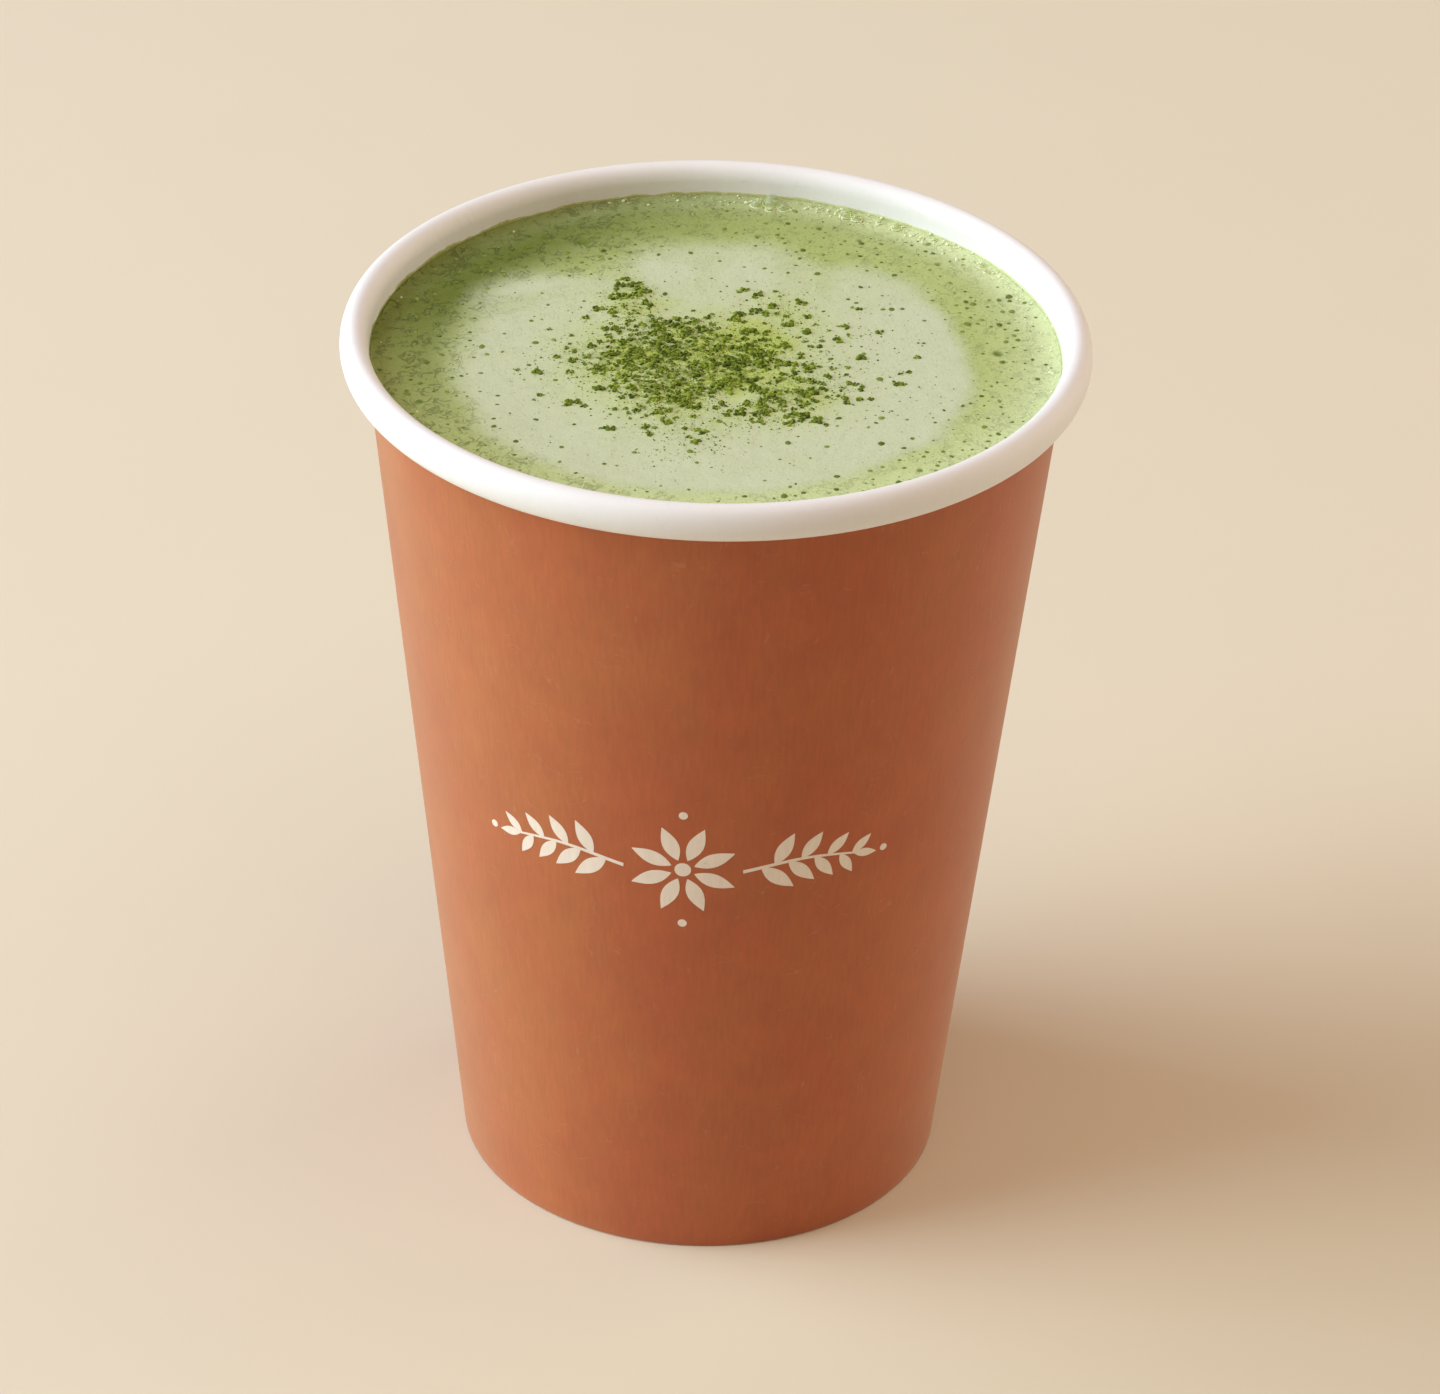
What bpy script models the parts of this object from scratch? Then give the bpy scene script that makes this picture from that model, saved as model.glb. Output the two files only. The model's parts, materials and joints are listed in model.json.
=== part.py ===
"""A matcha latte in a single-wall paper cup, with matcha powder sifted over its foam.

The cup is built as a real one is. One sheet of board is wrapped into a cone, lapped at a seam
down the back, rolled outwards at the top and folded inwards at the bottom. The fold clamps the
flange of a shallow pan, which is the cup's floor. The drink fills the cup to just under its roll.

Metres, +Z up. The origin is on the cup's axis, in the plane that the cup stands on.
"""

import math
import random

import bmesh
import bpy
from mathutils import Matrix, Vector, noise

MM = 0.001

# The cup, a common 12 oz size
CUP_HEIGHT = 114.0 * MM
RIM_RADIUS = 45.0 * MM
BASE_RADIUS = 30.0 * MM
WALL_TOP_RADIUS = 42.3 * MM  # the printed face, run on up to the cup's full height
BOARD = 0.45 * MM
CLEARANCE = 0.3 * MM
ROLL_HALF_HEIGHT = 2.3 * MM
ROLL_END_ANGLE = math.radians(-120)  # where the rolled edge stops, just short of the wall
ROLL_STEPS = 10
FOOT_ROUNDING = 0.3 * MM

# The floor and the fold that clamps it
FLOOR_TOP = 8.2 * MM
FLOOR_CORNER = 0.9 * MM
FOLD_HEIGHT = 6.6 * MM

# The lapped seam at the back
SEAM_ANGLE = math.radians(90)
SEAM_WIDTH = math.radians(13)
SEAM_STEP = 0.3 * MM
SEAM_BITE = 0.2 * MM
SEAM_FOOT = 0.6 * MM
SEAM_ROWS = 8

# The drink
DRINK_LEVEL = 110.0 * MM
MENISCUS_RISE = 0.35 * MM
MENISCUS_WIDTH = 1.6 * MM
FOAM_SWELL = 0.10 * MM
FOAM_SWELL_SIZE = 9.0 * MM
DUST_MOUND = 0.22 * MM

# The sifted powder: where its drifts lie, how far each spreads and how much of it each holds.
# A negative share is a place that the sieve missed.
DUST_DRIFTS = (
    # x mm, y mm, spread mm, share
    (-4.0, -2.5, 4.3, 1.00),
    (-1.5, 2.5, 3.6, 0.60),
    (-8.3, 9.0, 2.2, 0.45),
    (-9.6, 16.8, 1.5, 0.35),
    (-12.8, -1.5, 3.0, 0.40),
    (-7.5, -9.5, 3.3, 0.60),
    (-2.5, -15.5, 3.4, 0.22),
    (9.5, -9.5, 3.7, 0.62),
    (7.5, -1.0, 4.0, 0.40),
    (4.8, 9.5, 3.0, 0.26),
    (8.0, 15.0, 2.4, 0.20),
    (16.5, -8.0, 4.5, 0.16),
    (15.0, 4.0, 5.5, 0.10),
    (1.8, -12.0, 2.0, -0.70),
    (-4.0, 9.5, 2.0, -0.40),
)
DUST_REACH = 24.0 * MM
DUST_CLUMPS = 150
DUST_RADIUS = (0.28 * MM, 0.62 * MM)
DUST_SPACING = 0.95 * MM
DUST_FLATNESS = 0.62
DUST_SEED = 12

# The few large bubbles that cling to the wall at the back
BUBBLES = (
    # angle in degrees, distance in from the wall mm, radius mm
    (80.5, 1.7, 1.15),
    (83.2, 2.3, 0.80),
    (78.0, 2.7, 0.70),
    (66.8, 1.6, 0.85),
    (64.6, 2.2, 0.65),
    (57.0, 1.5, 0.60),
)
BUBBLE_SHOWS = 0.45  # share of a bubble's radius that stands above the foam

TURN_STEPS = 72
WELD = 0.00001

COLOURS = {
    # sRGB red, green, blue, then roughness
    "terracotta_print": (0.66, 0.38, 0.25, 0.70),
    "white_board": (0.93, 0.92, 0.89, 0.50),
    "matcha_foam": (0.69, 0.76, 0.50, 0.45),
    "matcha_powder": (0.33, 0.42, 0.13, 0.90),
}


def wall_outer(z):
    """Radius of the wall's printed face at height z."""
    return BASE_RADIUS + (WALL_TOP_RADIUS - BASE_RADIUS) * z / CUP_HEIGHT


def wall_inner(z):
    """Radius of the wall's inner face at height z."""
    slope = math.atan2(WALL_TOP_RADIUS - BASE_RADIUS, CUP_HEIGHT)
    return wall_outer(z) - BOARD / math.cos(slope)


def flange_outer(z):
    """Outer radius of the floor's flange at height z."""
    return wall_inner(z) - CLEARANCE


def fold_outer(z):
    """Outer radius of the fold, inside the flange, at height z."""
    return flange_outer(z) - BOARD - CLEARANCE


def linear(value):
    """An sRGB value as linear light."""
    return value / 12.92 if value <= 0.04045 else ((value + 0.055) / 1.055) ** 2.4


def make_material(name):
    """The plain material of one of the COLOURS."""
    red, green, blue, roughness = COLOURS[name]
    material = bpy.data.materials.new(name)
    material.use_nodes = True
    shader = material.node_tree.nodes["Principled BSDF"]
    colour = [linear(value) for value in (red, green, blue)] + [1.0]
    shader.inputs["Base Color"].default_value = colour
    shader.inputs["Roughness"].default_value = roughness
    material.diffuse_color = colour
    return material


def clear_scene():
    """Removes what the startup file holds."""
    for obj in list(bpy.data.objects):
        bpy.data.objects.remove(obj, do_unlink=True)


def link(obj, collection):
    """Puts an object in a collection and hands it back."""
    collection.objects.link(obj)
    return obj


def turned(name, profile, collection, closed):
    """A solid turned about Z from (radius, height) points, which run down its outer side."""
    mesh = bpy.data.meshes.new(name)
    edges = [(i, i + 1) for i in range(len(profile) - 1)]
    if closed:
        edges.append((len(profile) - 1, 0))
    mesh.from_pydata([(r, 0.0, z) for r, z in profile], edges, [])
    obj = link(bpy.data.objects.new(name, mesh), collection)
    screw = obj.modifiers.new("turn", "SCREW")
    screw.steps = TURN_STEPS
    screw.render_steps = TURN_STEPS
    screw.use_merge_vertices = True
    screw.merge_threshold = WELD
    screw.use_smooth_shade = True
    return obj


def apply_modifiers(obj):
    """Replaces an object's mesh by what its modifiers make of it."""
    graph = bpy.context.evaluated_depsgraph_get()
    made = bpy.data.meshes.new_from_object(obj.evaluated_get(graph))
    obj.modifiers.clear()
    obj.data = made
    made.name = obj.name
    return obj


def join_by_union(obj, others, solver):
    """Fuses the objects of a collection to obj, and removes them."""
    union = obj.modifiers.new("fuse", "BOOLEAN")
    union.operation = "UNION"
    union.operand_type = "COLLECTION"
    union.collection = others
    union.solver = solver
    apply_modifiers(obj)
    for other in list(others.objects):
        bpy.data.objects.remove(other, do_unlink=True)
    bpy.data.collections.remove(others)
    return obj


def oval(centre, half_width, half_height, start, end, steps):
    """Points along an oval's arc from one angle to another."""
    angles = [start + (end - start) * i / steps for i in range(steps + 1)]
    return [
        (centre[0] + half_width * math.cos(a), centre[1] + half_height * math.sin(a))
        for a in angles
    ]


def wall_profile():
    """The folded and rolled sheet in section: printed face, fold, inner face, roll."""
    roll_z = CUP_HEIGHT - ROLL_HALF_HEIGHT
    roll_half_width = (RIM_RADIUS - wall_inner(roll_z)) / 2
    centre = (RIM_RADIUS - roll_half_width, roll_z)
    printed_face = [
        (wall_outer(z), z) for z in (0.66 * CUP_HEIGHT, 0.33 * CUP_HEIGHT, FOOT_ROUNDING)
    ]
    foot = [
        (wall_outer(0.0) - FOOT_ROUNDING, 0.0),
        (fold_outer(0.0) - BOARD + FOOT_ROUNDING, 0.0),
        (fold_outer(FOOT_ROUNDING) - BOARD, FOOT_ROUNDING),
    ]
    fold = [
        (fold_outer(FOLD_HEIGHT) - BOARD, FOLD_HEIGHT),
        (fold_outer(FOLD_HEIGHT), FOLD_HEIGHT),
        (fold_outer(BOARD), BOARD),
        (wall_inner(BOARD), BOARD),
    ]
    inner_face = [(wall_inner(z), z) for z in (0.33 * CUP_HEIGHT, 0.66 * CUP_HEIGHT)]
    over = oval(
        centre, roll_half_width, ROLL_HALF_HEIGHT, math.pi, ROLL_END_ANGLE, ROLL_STEPS
    )
    back = oval(
        centre,
        roll_half_width - BOARD,
        ROLL_HALF_HEIGHT - BOARD,
        ROLL_END_ANGLE,
        math.pi,
        ROLL_STEPS,
    )
    return printed_face + foot + fold + inner_face + over + back


def make_seam(collection):
    """The lapped edge of the sheet: a box bent round the wall, a step on one side, fading on the other."""
    roll_bottom = CUP_HEIGHT - 2 * ROLL_HALF_HEIGHT
    top = roll_bottom - CLEARANCE
    bm = bmesh.new()
    bmesh.ops.create_cube(bm, size=1.0)
    for axis in (0, 2):
        along = [
            e for e in bm.edges if abs((e.verts[0].co - e.verts[1].co)[axis]) > 0.5
        ]
        bmesh.ops.subdivide_edges(
            bm, edges=along, cuts=SEAM_ROWS - 1, use_grid_fill=True
        )
    for vert in bm.verts:
        across, deep, up = (value + 0.5 for value in vert.co)
        z = SEAM_FOOT + (top - SEAM_FOOT) * up
        angle = SEAM_ANGLE + SEAM_WIDTH * (across - 0.5)
        raised = SEAM_STEP * across
        radius = wall_outer(z) - SEAM_BITE + deep * (SEAM_BITE + raised)
        if across == 0.0:
            radius -= deep * SEAM_BITE * 0.5
        vert.co = (radius * math.cos(angle), radius * math.sin(angle), z)
    bmesh.ops.recalc_face_normals(bm, faces=bm.faces)
    mesh = bpy.data.meshes.new("seam")
    bm.to_mesh(mesh)
    bm.free()
    return link(bpy.data.objects.new("seam", mesh), collection)


def paint_wall(obj):
    """Print on the wall's outer face, plain white board everywhere else."""
    for name in ("white_board", "terracotta_print"):
        obj.data.materials.append(bpy.data.materials[name])
    roll_bottom = CUP_HEIGHT - 2 * ROLL_HALF_HEIGHT
    for face in obj.data.polygons:
        middle = face.center
        outward = face.normal.x * middle.x + face.normal.y * middle.y
        radius = math.hypot(middle.x, middle.y)
        on_outside = outward > 0 and radius > wall_outer(middle.z) - 0.5 * BOARD
        face.material_index = int(on_outside and middle.z < roll_bottom)


def make_wall(collection):
    """The cup's wall, one sheet with its roll, fold and seam."""
    wall = turned("cup_wall", wall_profile(), collection, closed=True)
    laps = bpy.data.collections.new("laps")
    bpy.context.scene.collection.children.link(laps)
    make_seam(laps)
    join_by_union(wall, laps, "EXACT")
    paint_wall(wall)
    return wall


def make_floor(collection):
    """The cup's floor, a shallow pan set in upside down, its flange in the wall's fold."""
    flange_foot = BOARD + CLEARANCE
    bend_z = FLOOR_TOP - FLOOR_CORNER
    centre = (flange_outer(bend_z) - FLOOR_CORNER, bend_z)
    outside = oval(centre, FLOOR_CORNER, FLOOR_CORNER, math.pi / 2, 0.0, 3)
    tight = FLOOR_CORNER - BOARD
    inside = oval(centre, tight, tight, 0.0, math.pi / 2, 2)
    profile = [(0.0, FLOOR_TOP)]
    profile += outside
    profile += [
        (flange_outer(flange_foot), flange_foot),
        (flange_outer(flange_foot) - BOARD, flange_foot),
    ]
    profile += inside
    profile += [(0.0, FLOOR_TOP - BOARD)]
    floor = turned("cup_floor", profile, collection, closed=False)
    floor.data.materials.append(bpy.data.materials["white_board"])
    return floor


def dust_density(x, y):
    """How thickly the powder lies at a place, from 0 to about 1."""
    total = 0.0
    for drift_x, drift_y, spread, share in DUST_DRIFTS:
        away = math.hypot(x / MM - drift_x, y / MM - drift_y)
        total += share * math.exp(-0.5 * (away / spread) ** 2)
    return max(0.0, total)


def foam_height(x, y):
    """Height of the drink's surface: a slow swell, a rise at the wall and a mound under the powder."""
    edge = flange_outer(DRINK_LEVEL)
    swell = FOAM_SWELL * noise.noise(Vector((x, y, 0.0)) / FOAM_SWELL_SIZE)
    to_wall = (edge - math.hypot(x, y)) / MENISCUS_WIDTH
    rise = MENISCUS_RISE * max(0.0, 1.0 - to_wall) ** 2
    return DRINK_LEVEL + swell + rise + DUST_MOUND * min(1.0, dust_density(x, y))


def drink_profile():
    """The drink in section, its surface flat and still, with rings close together near the wall."""
    edge = flange_outer(DRINK_LEVEL)
    rings = [edge * share for share in (0.0, 0.1, 0.2, 0.3, 0.4, 0.5, 0.62, 0.75, 0.87)]
    rings += [edge - MENISCUS_WIDTH, edge - 0.5 * MENISCUS_WIDTH, edge]
    surface = [(r, DRINK_LEVEL) for r in rings]
    bottom = FLOOR_TOP + CLEARANCE
    sides = [(flange_outer(z), z) for z in (0.66 * DRINK_LEVEL, 0.33 * DRINK_LEVEL, bottom)]
    return surface + sides + [(0.0, bottom)]


def make_lump(name, radius, flatness, divisions, collection, rng):
    """A ball with its points nudged, as a clump of powder or a bubble is."""
    bm = bmesh.new()
    bmesh.ops.create_icosphere(bm, subdivisions=divisions, radius=radius)
    for vert in bm.verts:
        vert.co *= rng.uniform(0.8, 1.15) if rng else 1.0
    spin = Matrix.Rotation(rng.uniform(0, math.tau), 3, "Z") if rng else Matrix.Identity(3)
    for vert in bm.verts:
        vert.co = spin @ Vector((vert.co.x, vert.co.y, vert.co.z * flatness))
    mesh = bpy.data.meshes.new(name)
    bm.to_mesh(mesh)
    bm.free()
    return link(bpy.data.objects.new(name, mesh), collection)


def dust_places(rng):
    """Places for the largest clumps, thick where the powder is, none touching another."""
    places = []
    while len(places) < DUST_CLUMPS:
        x, y = (rng.uniform(-DUST_REACH, DUST_REACH) for _ in range(2))
        keep = rng.random() < dust_density(x, y)
        if keep and all(math.hypot(x - a, y - b) > DUST_SPACING for a, b in places):
            places.append((x, y))
    return places


def add_dust(collection):
    """The clumps of powder, sunk a third of the way into the foam."""
    rng = random.Random(DUST_SEED)
    for x, y in dust_places(rng):
        small, large = DUST_RADIUS
        radius = small + (large - small) * rng.random() ** 2
        lump = make_lump("dust", radius, DUST_FLATNESS, 1, collection, rng)
        lump.location = (x, y, foam_height(x, y) + 0.2 * radius)


def add_bubbles(collection):
    """The large bubbles against the wall at the back."""
    for degrees, inset, radius in BUBBLES:
        radius *= MM
        angle = math.radians(degrees)
        reach = flange_outer(DRINK_LEVEL) - inset * MM
        x, y = reach * math.cos(angle), reach * math.sin(angle)
        bubble = make_lump("bubble", radius, 1.0, 2, collection, None)
        bubble.location = (x, y, foam_height(x, y) - radius * (1.0 - BUBBLE_SHOWS))


def make_drink(collection):
    """The drink up to its level, with the powder and bubbles that stand out of it fused on."""
    drink = turned("matcha_latte", drink_profile(), collection, closed=False)
    apply_modifiers(drink)
    for vert in drink.data.vertices:
        if vert.co.z > DRINK_LEVEL - WELD:
            vert.co.z = foam_height(vert.co.x, vert.co.y)
    toppings = bpy.data.collections.new("toppings")
    bpy.context.scene.collection.children.link(toppings)
    add_dust(toppings)
    add_bubbles(toppings)
    join_by_union(drink, toppings, "MANIFOLD")
    drink.data.materials.clear()
    drink.data.materials.append(bpy.data.materials["matcha_foam"])
    drink.data.materials.append(bpy.data.materials["matcha_powder"])
    return drink


def paint_dust(drink):
    """Powder green on the clumps, foam green on the rest."""
    lift = 0.5 * DUST_RADIUS[0] * DUST_FLATNESS
    for face in drink.data.polygons:
        x, y, z = face.center
        stands_out = z > foam_height(x, y) + lift
        face.material_index = int(stands_out and math.hypot(x, y) < DUST_REACH)


def main():
    clear_scene()
    for name in COLOURS:
        make_material(name)
    cup = bpy.data.collections.new("matcha_latte_in_paper_cup")
    bpy.context.scene.collection.children.link(cup)
    make_wall(cup)
    make_floor(cup)
    paint_dust(make_drink(cup))


main()
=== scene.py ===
"""Looks for a matcha latte in a rolled-rim paper cup.

The cup is one sheet of white board, printed terracotta on its outside, lapped at the back, rolled
over at the rim and folded under at the foot. It holds a milky green drink. Its foam is green at the
wall and pale in the middle, and matcha powder is sifted over it.

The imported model's frame is kept: +Z up along the cup's axis, the camera on the -Y side, the lapped
seam at +Y. Meshes are in metres. What lies on the drink is given in millimetres and degrees.
"""

from __future__ import annotations

import json
import logging
import math
from collections.abc import Callable, Sequence
from dataclasses import dataclass, field
from enum import Enum

import bmesh
import bpy
import numpy as np
from bmesh.types import BMesh
from bpy.types import Material, Mesh, Node, NodeSocket, NodeTree, Object
from mathutils import Matrix, Vector
from numpy import ndarray

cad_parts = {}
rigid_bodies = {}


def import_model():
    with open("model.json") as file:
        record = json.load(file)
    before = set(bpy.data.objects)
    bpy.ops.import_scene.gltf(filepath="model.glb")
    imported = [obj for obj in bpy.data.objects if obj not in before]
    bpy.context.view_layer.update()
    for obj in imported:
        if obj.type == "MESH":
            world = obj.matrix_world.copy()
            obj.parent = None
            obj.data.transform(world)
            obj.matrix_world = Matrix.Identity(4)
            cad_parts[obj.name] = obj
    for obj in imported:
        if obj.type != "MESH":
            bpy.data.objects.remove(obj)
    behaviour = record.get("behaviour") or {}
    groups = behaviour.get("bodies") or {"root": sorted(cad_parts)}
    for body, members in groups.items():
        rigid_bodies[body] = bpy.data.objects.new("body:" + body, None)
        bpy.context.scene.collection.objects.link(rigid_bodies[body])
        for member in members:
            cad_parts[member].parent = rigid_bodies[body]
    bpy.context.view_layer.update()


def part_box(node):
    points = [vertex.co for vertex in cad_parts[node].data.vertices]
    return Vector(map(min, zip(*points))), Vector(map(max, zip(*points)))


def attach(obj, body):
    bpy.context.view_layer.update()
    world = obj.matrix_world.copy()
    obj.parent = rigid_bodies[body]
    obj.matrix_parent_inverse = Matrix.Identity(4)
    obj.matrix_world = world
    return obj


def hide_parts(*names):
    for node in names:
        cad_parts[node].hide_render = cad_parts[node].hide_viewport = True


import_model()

MM = 0.001
WELD_DISTANCE = 1e-7
GRAIN_SHAPES = 12
GRAIN_TILT = 0.35
BODY = "root"
LOG = logging.getLogger("matcha_latte")

Pair = tuple[float, float]
Colour = tuple[float, float, float]


class Slot(Enum):
    """The record's material slots."""

    PRINTED_BOARD = "printed_board"
    WHITE_BOARD = "white_board"
    MATCHA_FOAM = "matcha_foam"


class Mask(Enum):
    """What a mesh stores at each of its points, all from 0 to 1."""

    MILK = "milk"
    DUST = "dust"
    POWDER = "powder"
    PITS = "pits"
    # painted shade by the wall at the left and back, partly the foam's own deeper green
    SHADE_AND_DEEPEN = "deepen"
    # painted light on the foam, mostly at the right and the front, where the wall's edge catches the light
    LIGHTEN = "lighten"
    HOLLOW = "hollow"
    WALL_FROTH = "wall_froth"
    RAW_EDGE = "raw_edge"
    TONE = "tone"


def linear(colour: Colour) -> tuple[float, ...]:
    """Turns an sRGB colour into linear light with an alpha of 1, as a socket takes it."""
    light = [c / 12.92 if c <= 0.04045 else ((c + 0.055) / 1.055) ** 2.4 for c in colour]
    return (*light, 1.0)


def smooth(value: ndarray) -> ndarray:
    """A soft step from 0 to 1 as the value goes from 0 to 1."""
    held = np.clip(value, 0.0, 1.0)
    return held * held * (3.0 - 2.0 * held)


def bell(away: ndarray) -> ndarray:
    """A bell curve, 1 at its middle and 0.61 one unit away."""
    return np.exp(-0.5 * away**2)


class Places:
    """Places on the drink's surface, in millimetres and degrees about the cup's axis."""

    LATTICE = 64

    def __init__(self, x: ndarray, y: ndarray) -> None:
        """Takes the places in metres.

        Args:
            x: how far right each place is.
            y: how far back each place is.
        """
        self.x, self.y = x / MM, y / MM
        self.radius = np.hypot(self.x, self.y)
        self.angle = np.degrees(np.arctan2(y, x))

    def away(self, x: float, y: float) -> ndarray:
        """How far each place is from a point."""
        return np.hypot(self.x - x, self.y - y)

    def towards(self, angle: float, spread: float) -> ndarray:
        """A soft sector about an angle, 1 at the angle itself."""
        return bell(((self.angle - angle + 180.0) % 360.0 - 180.0) / spread)

    def noise(self, seed: int, cell: float) -> ndarray:
        """Smooth noise over the plane.

        Args:
            seed: fixes the noise.
            cell: the size of its features.

        Returns:
            The noise at each place, from -1 to 1.
        """
        side = self.LATTICE
        lattice = np.random.default_rng(seed).uniform(-1.0, 1.0, (side, side))
        u, v = self.x / cell, self.y / cell
        i, j = np.floor(u).astype(int), np.floor(v).astype(int)
        s, t = smooth(u - i), smooth(v - j)
        rows = [
            lattice[i % side, (j + k) % side] * (1 - s) + lattice[(i + 1) % side, (j + k) % side] * s
            for k in (0, 1)
        ]
        return rows[0] * (1 - t) + rows[1] * t


class Value:
    """A node's output that plain arithmetic can be written with."""

    def __init__(self, socket: NodeSocket) -> None:
        """Takes the output."""
        self.socket = socket

    def _math(self, operation: str, *values: Source) -> Value:
        """A Math node in this output's own tree."""
        return Wiring(self.socket.id_data).math(operation, *values)

    def __add__(self, other: Source) -> Value:
        """The sum."""
        return self._math("ADD", self, other)

    def __sub__(self, other: Source) -> Value:
        """The difference."""
        return self._math("SUBTRACT", self, other)

    def __rsub__(self, other: float) -> Value:
        """What is left of a plain number."""
        return self._math("SUBTRACT", other, self)

    def __mul__(self, other: Source) -> Value:
        """The product."""
        return self._math("MULTIPLY", self, other)


Source = Value | float | tuple | str


def feed(socket: NodeSocket, value: Source) -> None:
    """Links an input to a value, or sets it.

    Args:
        socket: the input.
        value: a value to link, or a plain one.
    """
    if isinstance(value, Value):
        socket.id_data.links.new(value.socket, socket)
    else:
        socket.default_value = value


class Wiring:
    """A node tree being filled, with short calls for its nodes."""

    def __init__(self, tree: NodeTree) -> None:
        """Takes the tree to fill."""
        self.tree = tree
        self.entry: dict[str, Value] = {}

    @classmethod
    def group(cls, name: str, kind: str, inputs: dict[str, str], outputs: dict[str, str]) -> Wiring:
        """Starts a node group.

        Args:
            name: the group's name.
            kind: ShaderNodeTree or GeometryNodeTree.
            inputs: the kind of each input, such as Float, by its name.
            outputs: the kind of each output, by its name.

        Returns:
            The group's wiring, whose entry holds its inputs.
        """
        made = cls(bpy.data.node_groups.new(name, kind))
        for way, sockets in (("INPUT", inputs), ("OUTPUT", outputs)):
            for label, what in sockets.items():
                made.tree.interface.new_socket(label, in_out=way, socket_type=f"NodeSocket{what}")
        made.entry = {socket.name: Value(socket) for socket in made.node("NodeGroupInput").outputs}
        return made

    def leave(self, results: dict[str, Value]) -> NodeTree:
        """Ends a node group with what it puts out."""
        self.node("NodeGroupOutput", results)
        return self.tree

    def node(self, kind: str, inputs: dict[str | int, Source] | None = None, **settings: object) -> Node:
        """Adds a node.

        Args:
            kind: Blender's name for its type.
            inputs: what feeds it, by an input's name or number.
            settings: its properties.

        Returns:
            The new node.
        """
        made = self.tree.nodes.new(kind)
        for name, value in settings.items():
            setattr(made, name, value)
        for name, value in (inputs or {}).items():
            feed(made.inputs[name], value)
        return made

    def value(
        self, kind: str, inputs: dict[str | int, Source], output: str | int = 0, **settings: object
    ) -> Value:
        """Adds a node and returns one of its outputs, given by name or number."""
        return Value(self.node(kind, inputs, **settings).outputs[output])

    def math(self, operation: str, *values: Source, clamp: bool = False) -> Value:
        """Adds a Math node and returns its result."""
        inputs = dict(enumerate(values))
        return self.value("ShaderNodeMath", inputs, operation=operation, use_clamp=clamp)

    def stretched(self, vector: Value, *scale: float) -> Value:
        """A vector times a number for each axis."""
        return self.value("ShaderNodeVectorMath", {0: vector, 1: scale}, operation="MULTIPLY")

    def scaled(self, colour: Source, share: Value) -> Value:
        """A colour times a number."""
        inputs = {0: colour, "Scale": share}
        return self.value("ShaderNodeVectorMath", inputs, operation="SCALE")

    def blend(self, share: Source, first: Source, second: Source) -> Value:
        """Mixes two colours, the first at a share of 0 and the second at 1."""
        return self.value("ShaderNodeMix", {0: share, 6: first, 7: second}, 2, data_type="RGBA")

    def step(self, value: Value, low: Source, high: Source) -> Value:
        """A soft step from 0 at low to 1 at high."""
        ends = {"Value": value, "From Min": low, "From Max": high}
        return self.value("ShaderNodeMapRange", ends, interpolation_type="SMOOTHSTEP")

    def noise(
        self, place: Value, scale: Source, detail: float = 2.0, rough: float = 0.5, bend: float = 0.0
    ) -> Value:
        """Noise from 0 to 1 at a place, with features 1/scale metres wide."""
        inputs = {"Vector": place, "Scale": scale, "Detail": detail, "Roughness": rough}
        return self.value("ShaderNodeTexNoise", {**inputs, "Distortion": bend})

    def cells(self, place: Value, scale: Source) -> tuple[Value, Value]:
        """Cells about 1/scale metres wide: the distance from their points, and a chance colour."""
        made = self.node("ShaderNodeTexVoronoi", {"Vector": place, "Scale": scale})
        return Value(made.outputs["Distance"]), Value(made.outputs["Color"])

    def attribute(self, mask: Mask) -> Value:
        """The value that the mesh stores for a mask."""
        return self.value("ShaderNodeAttribute", {}, "Fac", attribute_name=mask.value)

    def place(self) -> Value:
        """Object coordinates."""
        return self.value("ShaderNodeTexCoord", {}, "Object")

    def axis(self, vector: Value, number: int) -> Value:
        """One axis of a vector."""
        return self.value("ShaderNodeSeparateXYZ", {0: vector}, number)

    def joined(self, *axes: Source) -> Value:
        """A vector from its axes."""
        return self.value("ShaderNodeCombineXYZ", dict(enumerate(axes)))

    def use(self, group: NodeTree, inputs: dict[str, Source]) -> dict[str, Value]:
        """Places a shader group with its own values, and returns what it puts out.

        Args:
            group: the shader group.
            inputs: what feeds it, by name.

        Returns:
            Its outputs, by name.
        """
        made = self.node("ShaderNodeGroup", node_tree=group)
        for name, value in inputs.items():
            feed(made.inputs[name], value)
        return {socket.name: Value(socket) for socket in made.outputs}


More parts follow.
